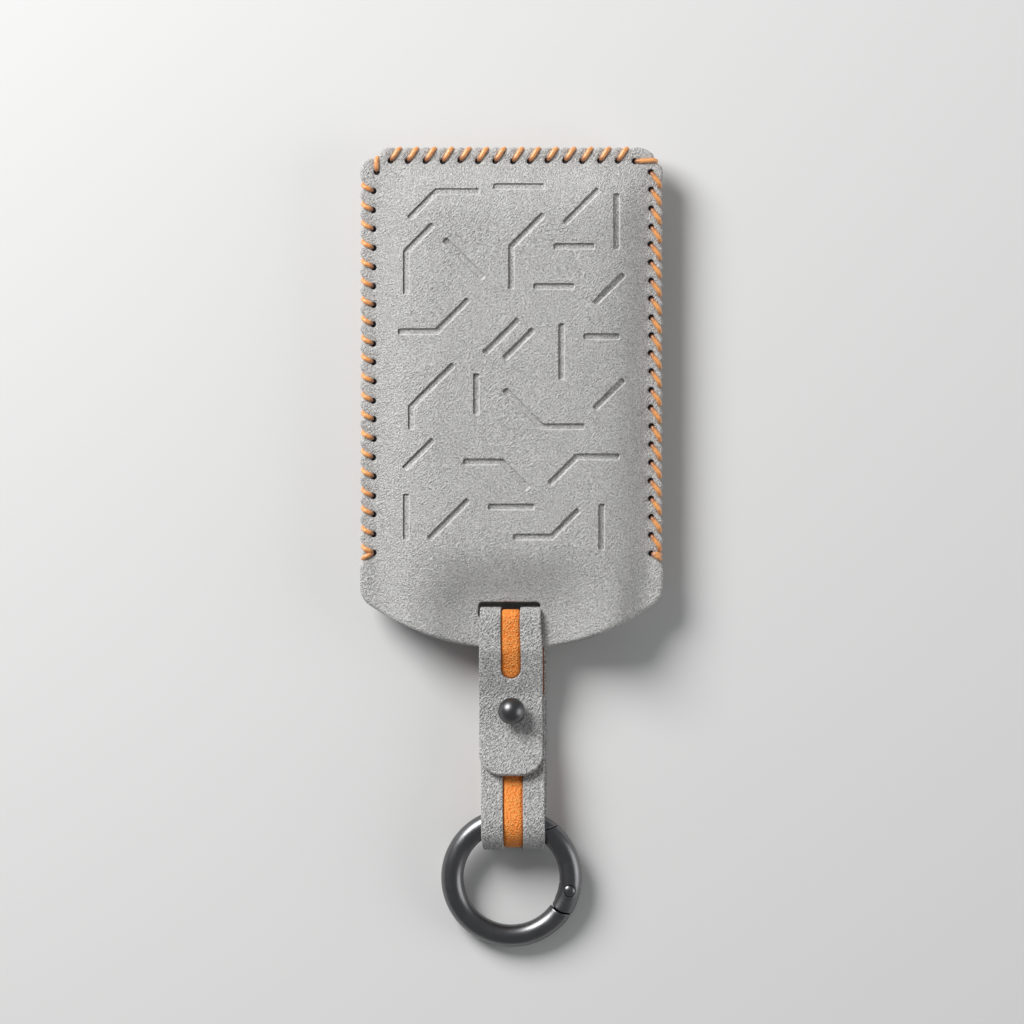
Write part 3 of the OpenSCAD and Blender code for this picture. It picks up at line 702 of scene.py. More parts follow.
strap = {
    # Layers and route
    "width": 12.75,
    "outer": 0.9,
    "liner": 0.7,
    "studY": (studLow[1] + studHigh[1]) / 2,
    "lipGap": 0.15,
    "legGap": 0.15,
    "tabTip": 13.0,
    "tabTipRadius": 4.7,
    "loopEnd": 27.8,
    "loopRadius": 3.65,
    "slotBend": 0.7,
    "slotRest": 0.6,
    # Windows and holes
    "windowWidth": 4.0,
    "tabWindow": 6.6,
    "tabWindowDive": 5.2,
    "loopWindowLap": 3.0,
    "loopWindowTurn": 200.0,
    "neckHole": 1.55,
    "slitWidth": 0.3,
    "slitReach": 2.6,
    "barrelHole": 1.35,
    # Foot of the stud, and how slowly the legs bend round it
    "studLift": 1.0,
    "flangeRadius": 3.2,
    "flangeThickness": 0.6,
    "flangeGap": 0.03,
    "slowBend": 1.6,
    "slowLead": 0.17,
    "routeStep": 0.1,
    # Rounded rims, and how the strap shifts and draws in along its route
    "edgeRound": 0.32,
    "windowRound": 0.24,
    "slotDive": 0.6,
    "slotPinch": 0.55,
    "slotPinchReach": 5.0,
    "loopPinch": 0.4,
    "loopPinchReach": 2.4,
    "tabShift": -0.12,
    "backShift": 0.65,
    "backRun": 22.0,
    "middleShift": 0.25,
    "middleLead": 6.0,
    "middleRun": 24.0,
    # The liner, set back from the edges and worn by the ring
    "linerBack": 0.3,
    "linerInset": 0.5,
    "linerRise": 0.42,
    "linerWear": 0.1,
    # How the liner swells into a window: distance from its edge and share of the rise
    "linerSwell": ((0.06, 0.0), (0.2, 0.55), (0.42, 0.9), (0.7, 1.0)),
    "linerFlat": 0.8,
    # Mesh
    "sideStep": 0.4,
    "grid": 0.3,
    "gridRows": 15,
    "gridInset": 0.7,
    "edgeClear": 0.35,
}


def fillet(a, b, c, r, step=0.12):
    u = (a - b) / np.linalg.norm(a - b)
    v = (c - b) / np.linalg.norm(c - b)
    half = math.acos(np.clip(u @ v, -1, 1)) / 2
    side = 1 if u[0] * v[1] - u[1] * v[0] > 0 else -1
    middle = b + (u + v) / np.linalg.norm(u + v) * r / math.sin(half)
    first = b + u * r / math.tan(half) - middle
    start = math.degrees(math.atan2(first[1], first[0]))
    sweep = 180 - 2 * math.degrees(half)
    count = max(4, int(math.radians(sweep) * r / step))
    return arc(middle[0], middle[1], r, start, start - side * sweep, count)


def strapRoute():
    c, s = case, strap
    halfL, seam = c["halfLength"], c["seam"]
    thick = s["outer"] + s["liner"]
    lip = c["pinchGap"] + c["rimThickness"] + s["lipGap"] + s["liner"]
    frontZ, backZ = seam + lip, seam - lip
    studBack = s["studLift"] + s["outer"]
    middleZ = studBack + s["liner"] + s["legGap"] + s["liner"]
    flangeZ = middleZ + s["outer"]
    tabZ = flangeZ + s["flangeThickness"] + s["flangeGap"] + s["liner"]
    slotY = c["slotTop"] - halfL - (c["slotHeight"] - thick) * s["slotRest"] - s["outer"]
    ply = s["loopRadius"] + s["liner"]
    loop = np.array([s["studY"] - s["loopEnd"] + s["loopRadius"] + thick, s["loopRadius"] + thick])
    flat = s["flangeRadius"] + s["legGap"]
    slow = flat * s["slowBend"]
    leanY = -halfL - s["liner"]
    nearY = s["studY"] + flat
    farY = s["studY"] - flat - slow * s["slowLead"]
    middleFrom = np.array([farY, middleZ])
    reach = middleFrom - loop
    turn = math.degrees(math.atan2(reach[1], reach[0]) + math.acos(ply / np.linalg.norm(reach)))
    touch = arc(*loop, ply, turn, turn, 1)[0]
    slope = (touch - middleFrom) / np.linalg.norm(touch - middleFrom)
    tabFrom = np.array([farY, tabZ])
    tipY = s["studY"] - s["tabTip"]
    tabEnd = tabFrom + slope * (tabFrom[0] - tipY) / -slope[0]
    bend = s["slotBend"] + s["liner"]
    lowZ = loop[1] - ply
    # Tab, front slot, back slot, back leg and the run into the loop
    corners = [
        tabEnd, tabFrom, (nearY, tabZ), (leanY, frontZ), (slotY, frontZ), (slotY, backZ),
        (leanY, backZ), (nearY, studBack), (farY, studBack), (loop[0] + s["loopRadius"], lowZ),
        (loop[0], lowZ)]
    corners = [np.array(p, float) for p in corners]
    radii = [slow, slow / 2, slow / 2, bend, bend, 2 * slow, 2 * slow, 4 * slow, 2 * slow]
    line = [tabEnd[None, :]]
    for k, r in enumerate(radii):
        line.append(fillet(*corners[k:k + 3], r))
    line.append(arc(*loop, ply, -90, turn - 360, 60))
    line.append(fillet(touch, middleFrom, np.array([nearY, middleZ]), slow))
    line.append(np.array([[nearY, middleZ]]))
    facts = {"loop": loop, "ply": ply, "turn": turn, "tipY": tipY, "slotY": slotY}
    return resample(np.vstack(line), s["routeStep"], closed=False), facts


route, routeFacts = strapRoute()
routeReach = reachAlong(route)
routeWays = unit(np.gradient(route, axis=0))


def reachesWhere(y):
    # How far along the route it passes y: on the tab, the back leg and the middle leg
    return routeReach[np.nonzero(np.diff(np.sign(route[:, 0] - y)))[0]]


def reachWhere(y, leg):
    return reachesWhere(y)[{"tab": 0, "back": 1, "middle": 2}[leg]]


loopStart = reachesWhere(routeFacts["loop"][0])[0]


def strapPlacer(spots, depth):
    # Depth counts down from the outer face of the grey layer
    s = strap
    along, across = spots[:, 0], spots[:, 1]
    y, z, wayY, wayZ = (
        np.interp(along, routeReach, column) for column in (*route.T, *routeWays.T))
    lift = s["outer"] - depth
    slotEnd = reachWhere(-case["halfLength"], "tab")
    toBack = smoothStep((along - slotEnd) / s["backRun"])
    toMiddle = smoothStep((along - loopStart + s["middleLead"]) / s["middleRun"])
    shift = s["tabShift"] + (s["backShift"] - s["tabShift"]) * toBack
    shift = shift + (s["middleShift"] - s["backShift"]) * toMiddle
    # Its right edge draws in where it dives into the slot
    half = s["width"] / 2
    dive = reachWhere(routeFacts["slotY"] - s["slotDive"], "tab")
    near = np.exp(-((along - dive) / s["slotPinchReach"]) ** 2)
    shift = shift - s["slotPinch"] * near * (across + half) / (2 * half)
    # Both edges draw in round the end of the loop
    loopEnd = loopStart + math.radians(90) * routeFacts["ply"]
    near = np.exp(-((along - loopEnd) / s["loopPinchReach"]) ** 2)
    shift = shift - s["loopPinch"] * near * across / half
    return np.column_stack((across + shift, y - wayZ * lift, z + wayY * lift))


def strapWindows():
    # One runs from beside the stud into the slot, the other round the loop to under the tab
    s = strap
    r = s["windowWidth"] / 2
    tabStart = reachWhere(s["studY"] + s["tabWindow"], "tab")
    tabEnd = reachWhere(routeFacts["slotY"] - s["slotDive"], "tab") + s["tabWindowDive"]
    loopFrom = loopStart + math.radians(270 - s["loopWindowTurn"]) * routeFacts["ply"]
    loopTo = reachesWhere(routeFacts["tipY"] + s["loopWindowLap"])[-1]
    return [windowLoop(tabStart, tabEnd, r), windowLoop(loopFrom, loopTo, r)]


def awayFrom(points, loop, gap):
    return distanceToPath(points, np.vstack((loop, loop[:1]))) > gap


def strapPlans(outerLayer):
    s = strap
    half = s["width"] / 2 - (0 if outerLayer else s["linerInset"])
    total = routeReach[-1]
    r = s["tabTipRadius"]
    tip = 0 if outerLayer else s["linerBack"]
    outline = np.vstack((
        arc(tip + r, -half + r, r, 180, 270, 10), [(total, -half)], [(total, half)],
        arc(tip + r, half - r, r, 90, 180, 10)))
    outline = resample(denser(outline, s["sideStep"]), s["sideStep"])
    cuts = [keyhole(reachWhere(s["studY"], "tab"))]
    for leg in ("back", "middle"):
        cuts.append(arc(reachWhere(s["studY"], leg), 0, s["barrelHole"], 0, 360, 24)[:-1])
    windows = strapWindows()
    if outerLayer:
        cuts += windows
    top, low = newPlan(), newPlan()
    edge = half - s["gridInset"]
    grid = np.array([(a, b) for a in np.arange(s["grid"], total, s["grid"])
                     for b in np.linspace(-edge, edge, s["gridRows"])])
    keep = awayFrom(grid, outline, s["edgeClear"]) & insideLoops(grid, [outline])
    for loop in cuts:
        keep &= ~insideLoops(grid, [offsetLoop(loop, s["grid"])])
    addPoints(low, grid[keep])
    if not outerLayer:
        # The liner swells up into the windows
        inner = np.zeros(len(grid), bool)
        for loop in windows:
            for inward, share in s["linerSwell"]:
                addLoop(top, offsetLoop(loop, -inward), -share * s["linerRise"])
            flat = insideLoops(grid, [offsetLoop(loop, -s["linerFlat"])])
            keep &= awayFrom(grid, loop, s["edgeClear"])
            keep &= ~insideLoops(grid, [loop]) | flat
            inner |= flat
        addPoints(top, grid[keep & inner], -s["linerRise"])
        keep &= ~inner
    addPoints(top, grid[keep])
    addCut(top, outline, s["edgeRound"], -1)
    addLoop(low, outline, cut=True)
    for loop in cuts:
        addCut(top, loop, s["windowRound"], 1)
        addLoop(low, loop, cut=True)
    return top, low


def windowLoop(start, end, r):
    ends = np.vstack((arc(start + r, 0, r, 90, 270, 12), arc(end - r, 0, r, -90, 90, 12)))
    return denser(ends, strap["sideStep"])


def keyhole(at):
    # Round hole for the neck with a short slit towards the tip
    r = strap["neckHole"]
    half = strap["slitWidth"] / 2
    angle = math.degrees(math.asin(half / r))
    rim = arc(at, 0, r, 180 + angle, 540 - angle, 28)
    end = at - strap["slitReach"]
    return np.vstack((rim, [(end, half)], [(end, -half)]))


def makeStrap():
    outer = sheetObject("strapOuter", *strapPlans(True), strapPlacer, strap["outer"])

    def linerPlacer(spots, depth):
        return strapPlacer(spots, depth + strap["outer"])

    # The ring rubs the inner face of the liner a little thinner
    thickness = strap["liner"] - strap["linerWear"]
    liner = sheetObject("strapLiner", *strapPlans(False), linerPlacer, thickness)
    print("strap", len(outer.data.vertices), len(liner.data.vertices))
    return outer, liner


# Thread

def smoothPath(points, step):
    # A smooth line through the points
    pts = np.asarray(points, float)
    padded = np.vstack((2 * pts[0] - pts[1], pts, 2 * pts[-1] - pts[-2]))
    line = []
    for k in range(1, len(padded) - 2):
        p0, p1, p2, p3 = padded[k - 1:k + 3]
        count = max(2, int(np.linalg.norm(p2 - p1) / step))
        for t in np.arange(count) / count:
            line.append(0.5 * ((2 * p1) + (-p0 + p2) * t + (2 * p0 - 5 * p1 + 4 * p2 - p3) * t * t
                               + (-p0 + 3 * p1 - 3 * p2 + p3) * t ** 3))
    line.append(pts[-1])
    return np.array(line)


def tubeMesh(path, radius):
    # A thread of twisted plies with closed ends and its own radius at each point
    sides, plies, plyDepth, plyPitch = (
        stitching[k] for k in ("sides", "plies", "plyDepth", "plyPitch"))
    ways = unit(np.gradient(path, axis=0))
    n = np.cross(ways[0], [0.3, 0.2, 0.9])  # any direction that no strand follows
    reach = reachAlong(path)
    a = np.arange(sides) * 2 * math.pi / sides
    points = []
    for k, p in enumerate(path):
        n = n - (n @ ways[k]) * ways[k]
        n /= np.linalg.norm(n)
        b = np.cross(ways[k], n)
        twist = 2 * math.pi * reach[k] / plyPitch
        r = radius[k] * (1 - plyDepth * (1 - np.abs(np.cos(plies / 2 * (a - twist)))))
        points.append(p + (r * np.cos(a))[:, None] * n + (r * np.sin(a))[:, None] * b)
    count = len(path)
    faces = []
    for k in range(count - 1):
        for j in range(sides):
            m = (j + 1) % sides
            faces.append((k * sides + j, k * sides + m, (k + 1) * sides + m, (k + 1) * sides + j))
    faces.append(tuple(range(sides))[::-1])
    faces.append(tuple((count - 1) * sides + j for j in range(sides)))
    return np.vstack(points), faces


def strandRoute(strand):
    # Up through its hole, over the front, round the edge and along the back. The fourth number
    # of each point is the radius
    s = stitching
    hole, outward, following = (strand[k] for k in ("hole", "outward", "following"))
    crossing = strand["crossing"] - outward * strand["dent"]
    edge = crossing - outward * s["edgeSink"]
    seam, rim = case["seam"], case["rimThickness"]
    r, holeR, edgeR = s["radius"], s["holeThreadRadius"], s["edgeThreadRadius"]
    level = rim + r - s["sink"] - case["threadPress"]
    mouth = rim - s["holeDepth"]
    span = np.linalg.norm(crossing - hole)
    way = (crossing - hole) / span
    backSpan = np.linalg.norm(following - crossing)
    backWay = (following - crossing) / backSpan
    points = [
        (hole + way * s["holeLean"], -rim * s["holeTail"], holeR),
        (hole + way * s["holeLean"], mouth, holeR),
        (hole + way * s["rise"], level - s["riseSink"], r * s["flatEnd"]),
        (hole + way * span * s["archAt"], level + s["archLift"], r),
        (crossing - way * s["turn"], level - s["turnSink"], r),
        (edge, rim * s["edgeShare"], edgeR),
        (edge + outward * s["edgeBulge"], 0, edgeR),
        (edge, -rim * s["edgeShare"], edgeR),
        (crossing + backWay * s["turn"], -level + s["turnSink"], r),
        (crossing + backWay * backSpan * s["archAt"], -level, r),
        (following - backWay * s["rise"], -level + s["riseSink"], r * s["flatEnd"]),
        (following - backWay * s["holeLean"], -mouth, holeR),
        (following - backWay * s["holeLean"], rim * s["holeTail"], holeR)]
    return [(p[0], p[1], seam + z, radius) for p, z, radius in points]


def makeThread():
    points, faces, holeShades, count = [], [], [], 0
    s = stitching
    for strand in strands:
        line = smoothPath(strandRoute(strand), s["step"])
        reach = reachAlong(line[:, :3])
        # Painted shade towards both ends of each strand, where it dives into its hole; it is
        # carried by the cut mask
        fromHole = np.minimum(reach, reach[-1] - reach) - s["holeShadeStart"]
        holeShade = 1 - smoothStep(fromHole / (s["holeShadeEnd"] - s["holeShadeStart"]))
        holeShades.append(np.repeat(holeShade, s["sides"]))
        p, f = tubeMesh(line[:, :3], line[:, 3])
        points.append(p)
        faces.extend(tuple(count + j for j in face) for face in f)
        count += len(p)
    masks = {"cutEdgeAndHoleShade": np.concatenate(holeShades)}
    thread = meshObject("edgeStitching", np.vstack(points), faces, masks)
    print("thread", count)
    return thread


# Linings

def makeLinings():
    made = []
    for name, side, crown in (
            ("frontLining", 1, case["frontCrown"]), ("backLining", -1, case["backCrown"])):
        # The thread fills its holes in the lining, so those are left out
        top, low = (panelPlans(False, pierced=False)[1] for _ in range(2))

        def place(spots, depth, placer=panelPlacer(side, crown, even)):
            return placer(spots, depth + case["suede"])

        made.append(sheetObject(name, top, low, place, case["lining"], wallShares=(0.5,)))
    print("linings")
    return made


# Materials

def newMaterial(name):
    material = bpy.data.materials.new(name)
    material.use_nodes = True
    tree = material.node_tree
    shader = tree.nodes["Principled BSDF"]
    return material, tree, shader


def groupTree(name, inputs):
    # Every group takes colours and amounts, and gives a colour, a height and a roughness
    tree = bpy.data.node_groups.new(name, "ShaderNodeTree")
    for label, value in inputs.items():
        kind = "NodeSocketColor" if isinstance(value, tuple) else "NodeSocketFloat"
        socket = tree.interface.new_socket(label, in_out="INPUT", socket_type=kind)
        socket.default_value = value
    for label, kind in (("Color", "Color"), ("Height", "Float"), ("Roughness", "Float")):
        tree.interface.new_socket(label, in_out="OUTPUT", socket_type="NodeSocket" + kind)
    given = tree.nodes.new("NodeGroupInput").outputs
    place = addNode(tree, "ShaderNodeTexCoord").outputs["Object"]
    return tree, given, place


def giveOut(tree, **values):
    out = tree.nodes.new("NodeGroupOutput")
    for label, value in values.items():
        tree.links.new(value, out.inputs[label])
    return tree


def addNode(tree, kind, **values):
    # A value named in_ and a socket is set on that socket, and any other on the node
    node = tree.nodes.new(kind)
    for key, value in values.items():
        if key.startswith("in_"):
            node.inputs[key[3:]].default_value = value
        else:
            setattr(node, key, value)
    return node


def plug(tree, value, socket):
    # A number or a colour is set on the socket, and anything else is linked to it
    if isinstance(value, (int, float, tuple)):
        socket.default_value = value
    else:
        tree.links.new(value, socket)


def mathNode(tree, operation, a, b, clamp=False):
    node = addNode(tree, "ShaderNodeMath", operation=operation, use_clamp=clamp)
    plug(tree, a, node.inputs[0])
    plug(tree, b, node.inputs[1])
    return node.outputs[0]


def mixColor(tree, factor, a, b, blend="MIX"):
    node = addNode(tree, "ShaderNodeMix", data_type="RGBA", blend_type=blend)
    for k, value in ((0, factor), (6, a), (7, b)):
        plug(tree, value, node.inputs[k])
    return node.outputs[2]


def noise(tree, vector, scale, detail, roughness, stretch=None, turn=0.0):
    # A stretch above 1 draws the pattern out along an axis that turn lays over, in degrees from +X
    if stretch is not None:
        mapping = addNode(tree, "ShaderNodeMapping", vector_type="TEXTURE")
        mapping.inputs["Scale"].default_value = stretch
        mapping.inputs["Rotation"].default_value = (0, 0, math.radians(turn))
        tree.links.new(vector, mapping.inputs["Vector"])
        vector = mapping.outputs[0]
    node = addNode(tree, "ShaderNodeTexNoise", in_Detail=detail, in_Roughness=roughness)
    plug(tree, scale, node.inputs["Scale"])
    tree.links.new(vector, node.inputs["Vector"])
    return node.outputs["Fac"]


def scaled(tree, value, amount):
    # A pattern moved to lie about 0, times an amount
    return mathNode(tree, "MULTIPLY", mathNode(tree, "SUBTRACT", value, 0.5), amount)


def weighted(tree, *terms):
    # A sum of values, each times its weight
    total = None
    for value, weight in terms:
        part = mathNode(tree, "MULTIPLY", value, weight)
        total = part if total is None else mathNode(tree, "ADD", total, part)
    return total


def shaded(tree, color, level):
    # A colour times a grey level
    grey = addNode(tree, "ShaderNodeCombineColor")
    for k in range(3):
        tree.links.new(level, grey.inputs[k])
    return mixColor(tree, 1.0, color, grey.outputs[0], "MULTIPLY")


# A pattern is its scale per metre, detail and roughness, and where it is drawn out, its stretch
# and the turn of that in degrees. The scale of the clumps comes from each suede's finish

nap = {
    "clump": (1.5, 0.5, (1.7, 1.0, 1.2), 50.0),
    "fibre": (5600.0, 1.0, 0.5, (1.6, 1.0, 1.0), 55.0),
    "fibreContrast": 1.35,
    "cloud": (95.0, 3.0, 0.55),
    "brushed": (380.0, 2.0, 0.5, (2.2, 1.0, 1.0), 48.0),
    "brushedContrast": 0.1,
    # Strength of the painted highlight and painted shade along the debossed lines
    "lift": 0.4,
    "darkest": 0.2,
    "clumpHeight": 0.8,
    "fibreHeight": 0.25,
    "roughness": 0.86,
    "roughnessSpread": 0.12,
}


def makeNapGroup():
    # Short nap of suede: clouds of brushed light and dark, clumps that lean one way and fine fibres
    tree, given, place = groupTree("suedeNap", {
        "Color": (0.5, 0.5, 0.5, 1), "Cut And Hole Shade Color": (0.4, 0.4, 0.4, 1), "Cut And Hole Shade": 0.0, "Lift": 0.0,
        "Clump Scale": 1500.0, "Clump Contrast": 0.5, "Cloud Contrast": 0.16})
    clump = noise(tree, place, given["Clump Scale"], *nap["clump"])
    fibre, cloud, brushed = (noise(tree, place, *nap[k]) for k in ("fibre", "cloud", "brushed"))
    level = scaled(tree, cloud, given["Cloud Contrast"])
    for value, contrast in (
            (brushed, nap["brushedContrast"]), (fibre, nap["fibreContrast"]),
            (clump, given["Clump Contrast"])):
        level = mathNode(tree, "ADD", level, scaled(tree, value, contrast))
    # Painted highlight on the lit groove walls and painted shade on the shaded ones
    level = mathNode(tree, "ADD", level, mathNode(tree, "MULTIPLY", given["Lift"], nap["lift"]))
    level = mathNode(tree, "MAXIMUM", mathNode(tree, "ADD", level, 1.0), nap["darkest"])
    toned, cutToned = (shaded(tree, given[k], level) for k in ("Color", "Cut And Hole Shade Color"))
    spread = mathNode(tree, "MULTIPLY", clump, nap["roughnessSpread"])
    return giveOut(
        tree, Color=mixColor(tree, given["Cut And Hole Shade"], toned, cutToned),
        Height=weighted(tree, (clump, nap["clumpHeight"]), (fibre, nap["fibreHeight"])),
        Roughness=mathNode(tree, "ADD", nap["roughness"], spread, clamp=True))


grain = {
    "smoothness": 0.6,
    "fine": (3600.0, 3.0, 0.6),
    "cloud": (260.0, 2.0, 0.5),
    "cloudContrast": 0.24,
    "humpHeight": 0.75,
    "fineHeight": 0.3,
    "pitLevel": 0.3,
    "pitContrast": 1.6,
    "roughness": 0.66,
    "roughnessSpread": 0.16,
}


def makeGrainGroup():
    # Fine pebble grain of smooth leather
    tree, given, place = groupTree("leatherGrain", {
        "Color": (0.8, 0.3, 0.05, 1), "Pit Color": (0.4, 0.1, 0.02, 1),
        "Cut And Hole Shade Color": (0.3, 0.1, 0.03, 1), "Cut And Hole Shade": 0.0, "Scale": 1500.0})
    cells = addNode(tree, "ShaderNodeTexVoronoi", feature="SMOOTH_F1")
    plug(tree, grain["smoothness"], cells.inputs["Smoothness"])
    plug(tree, given["Scale"], cells.inputs["Scale"])
    plug(tree, place, cells.inputs["Vector"])
    hump = mathNode(tree, "SUBTRACT", 1.0, cells.outputs["Distance"], clamp=True)
    fine, cloud = (noise(tree, place, *grain[k]) for k in ("fine", "cloud"))
    height = weighted(tree, (hump, grain["humpHeight"]), (fine, grain["fineHeight"]))
    mix = mathNode(tree, "SUBTRACT", height, grain["pitLevel"])
    mix = mathNode(tree, "MULTIPLY", mix, grain["pitContrast"], clamp=True)
    toned = mixColor(tree, mix, given["Pit Color"], given["Color"])
    level = mathNode(tree, "ADD", 1.0, scaled(tree, cloud, grain["cloudContrast"]))
    toned = shaded(tree, toned, level)
    spread = mathNode(tree, "MULTIPLY", height, grain["roughnessSpread"])
    return giveOut(
        tree, Color=mixColor(tree, given["Cut And Hole Shade"], toned, given["Cut And Hole Shade Color"]), Height=height,
        Roughness=mathNode(tree, "SUBTRACT", grain["roughness"], spread, clamp=True))


scuff = {
    "hair": (2600.0, 2.0, 0.6, (1.0, 6.0, 2.0)),
    "blotch": (340.0, 3.0, 0.6),
    "speck": (4200.0, 2.0, 0.5),
    "wornLevel": 0.52,
    "wornContrast": 3.0,
    "blotchRoughness": 0.16,
    "hairRoughness": 0.12,
    "hairHeight": 0.5,
    "speckHeight": 0.5,
}


def makeScuffGroup():
    # Brushed metal: fine hair lines, soft blotches and worn lighter spots
    tree, given, place = groupTree("metalScuff", {
        "Color": (0.2, 0.2, 0.2, 1), "Worn Color": (0.5, 0.5, 0.5, 1),
        "Roughness": 0.3, "Wear": 0.2})
    hair, blotch, speck = (noise(tree, place, *scuff[k]) for k in ("hair", "blotch", "speck"))
    worn = mathNode(tree, "SUBTRACT", blotch, scuff["wornLevel"])
    worn = mathNode(tree, "MULTIPLY", worn, scuff["wornContrast"], clamp=True)
    worn = mathNode(tree, "MULTIPLY", worn, given["Wear"], clamp=True)
    blotched = scaled(tree, blotch, scuff["blotchRoughness"])
    rough = mathNode(tree, "ADD", given["Roughness"], blotched)
    rough = mathNode(tree, "ADD", rough, scaled(tree, hair, scuff["hairRoughness"]), clamp=True)
    return giveOut(
        tree, Color=mixColor(tree, worn, given["Color"], given["Worn Color"]), Roughness=rough,
        Height=weighted(tree, (hair, scuff["hairHeight"]), (speck, scuff["speckHeight"])))


def groupMaterial(name, group, finish, constants, masks):
    # The finish sets the group's own values and the height of its bump in metres
    material, tree, shader = newMaterial(name)
    node = addNode(tree, "ShaderNodeGroup", node_tree=group)
    for label, value in finish.items():
        if label != "bump":
            node.inputs[label].default_value = value
    for label, attribute in masks.items():
        mask = addNode(tree, "ShaderNodeAttribute", attribute_name=attribute)
        tree.links.new(mask.outputs["Fac"], node.inputs[label])
    tree.links.new(node.outputs["Color"], shader.inputs["Base Color"])
    tree.links.new(node.outputs["Roughness"], shader.inputs["Roughness"])
    bump = addNode(tree, "ShaderNodeBump", in_Strength=1.0, in_Distance=finish["bump"])
    tree.links.new(node.outputs["Height"], bump.inputs["Height"])
    tree.links.new(bump.outputs[0], shader.inputs["Normal"])
    for label, value in constants.items():
        shader.inputs[label].default_value = value
    return material


suedeFinishes = {
    "caseSuede": {
        "Color": (0.565, 0.557, 0.542, 1), "Cut And Hole Shade Color": (0.62, 0.61, 0.595, 1),
        "Clump Scale": 4100.0, "Clump Contrast": 1.45, "bump": 0.00085},
    "strapSuede": {
        "Color": (0.505, 0.50, 0.49, 1), "Cut And Hole Shade Color": (0.56, 0.55, 0.54, 1),
        "Clump Scale": 3500.0, "Clump Contrast": 2.4, "bump": 0.00095},
    "liningCloth": {
        "Color": (0.065, 0.065, 0.07, 1), "Cut And Hole Shade Color": (0.05, 0.05, 0.052, 1),
        "Clump Scale": 2600.0, "Clump Contrast": 0.5, "bump": 0.0002},
}
leatherFinish = {
    "Color": (1.0, 0.49, 0.135, 1), "Pit Color": (0.90, 0.20, 0.02, 1),
    "Cut And Hole Shade Color": (0.10, 0.06, 0.042, 1), "Scale": 2800.0, "bump": 0.0004}
# The thread's cut colour is painted shade, on the ends that dive into the holes
threadFinish = {
    "Color": (1.0, 0.53, 0.18, 1), "Pit Color": (0.80, 0.25, 0.04, 1),
    "Cut And Hole Shade Color": (0.26, 0.08, 0.025, 1), "Scale": 4200.0, "bump": 0.00005}
metalFinishes = {
    "gunmetal": {
        "Color": (0.18, 0.18, 0.185, 1), "Worn Color": (0.34, 0.34, 0.345, 1),
        "Roughness": 0.33, "bump": 0.000004},
    "polishedGunmetal": {
        "Color": (0.15, 0.15, 0.154, 1), "Worn Color": (0.22, 0.22, 0.224, 1),
        "Roughness": 0.37, "bump": 0.000002},
    "brightSteel": {
        "Color": (0.5, 0.5, 0.51, 1), "Worn Color": (0.65, 0.65, 0.66, 1),
        "Roughness": 0.25, "bump": 0.000002},
}
suedeShader = {"Specular IOR Level": 0.15, "Sheen Weight": 0.22, "Sheen Roughness": 0.55}
leatherShader = {"Specular IOR Level": 0.3}
waxShader = {
    "Specular IOR Level": 0.6, "Coat Weight": 0.9, "Coat Roughness": 0.33, "Coat IOR": 1.75}
metalShader = {"Metallic": 1.0}

napGroup, grainGroup, scuffGroup = makeNapGroup(), makeGrainGroup(), makeScuffGroup()
# The pressed mask brings the painted highlight and painted shade of the debossed lines
napMasks = {"Cut And Hole Shade": "cutEdgeAndHoleShade", "Lift": "pressed"}
# On the thread the cut mask carries painted shade at the holes; on the leather it marks the cut
# edges
grainMasks = {"Cut And Hole Shade": "cutEdgeAndHoleShade"}
caseSuede, strapSuede, liningCloth = (
    groupMaterial(name, napGroup, finish, suedeShader, napMasks)
    for name, finish in suedeFinishes.items())
orangeLeather = groupMaterial("orangeLeather", grainGroup, leatherFinish, leatherShader, grainMasks)
orangeThread = groupMaterial("orangeThread", grainGroup, threadFinish, waxShader, grainMasks)
gunmetal, polishedGunmetal, brightSteel = (
    groupMaterial(name, scuffGroup, finish, metalShader, {})
    for name, finish in metalFinishes.items())
print("materials")


def dress(piece, material):
    piece.data.materials.clear()
    piece.data.materials.append(material)


frontPanel, backPanel = makePanels()
frontLining, backLining = makeLinings()
thread = makeThread()
strapOuter, strapLiner = makeStrap()

placed = [
    (frontPanel, caseSuede, "case", "front_panel", "case_suede"),
    (backPanel, caseSuede, "case", "back_panel", "case_suede"),
    (frontLining, liningCloth, "case", "front_lining", "case_lining"),
    (backLining, liningCloth, "case", "back_lining", "case_lining"),
    (thread, orangeThread, "case", "edge_stitching", "thread"),
]
for piece, material, body, node, slot in placed:
    dress(piece, material)
    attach(piece, body)
    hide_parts(node)

for piece, material, node, slot in (
        (strapOuter, strapSuede, "strap_outer", "strap_suede"),
        (strapLiner, orangeLeather, "strap_liner", "strap_leather")):
    dress(piece, material)
    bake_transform(piece)
    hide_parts(node)

for node, material in (
        ("ball_stud", polishedGunmetal), ("stud_screw", gunmetal), ("ring_body", gunmetal),
        ("ring_gate", gunmetal), ("gate_pin", gunmetal), ("gate_plunger", brightSteel),
        ("gate_spring", brightSteel)):
    dress(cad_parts[node], material)


ringEdges = {"cell": 0.00012, "factor": 0.5, "rounds": 3}


def softenEdges(piece):
    # Remakes the surface from even cells, which rounds the sharp edges of the ring's joints
    remesh = piece.modifiers.new("evenCells", "REMESH")
    remesh.mode = "VOXEL"
    remesh.voxel_size = ringEdges["cell"]
    remesh.use_smooth_shade = True
    smooth = piece.modifiers.new("softEdges", "SMOOTH")
    smooth.factor = ringEdges["factor"]
    smooth.iterations = ringEdges["rounds"]


for node in ("ring_body", "ring_gate"):
    softenEdges(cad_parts[node])
print("dressed")


# Stage, light and camera, in metres and watts

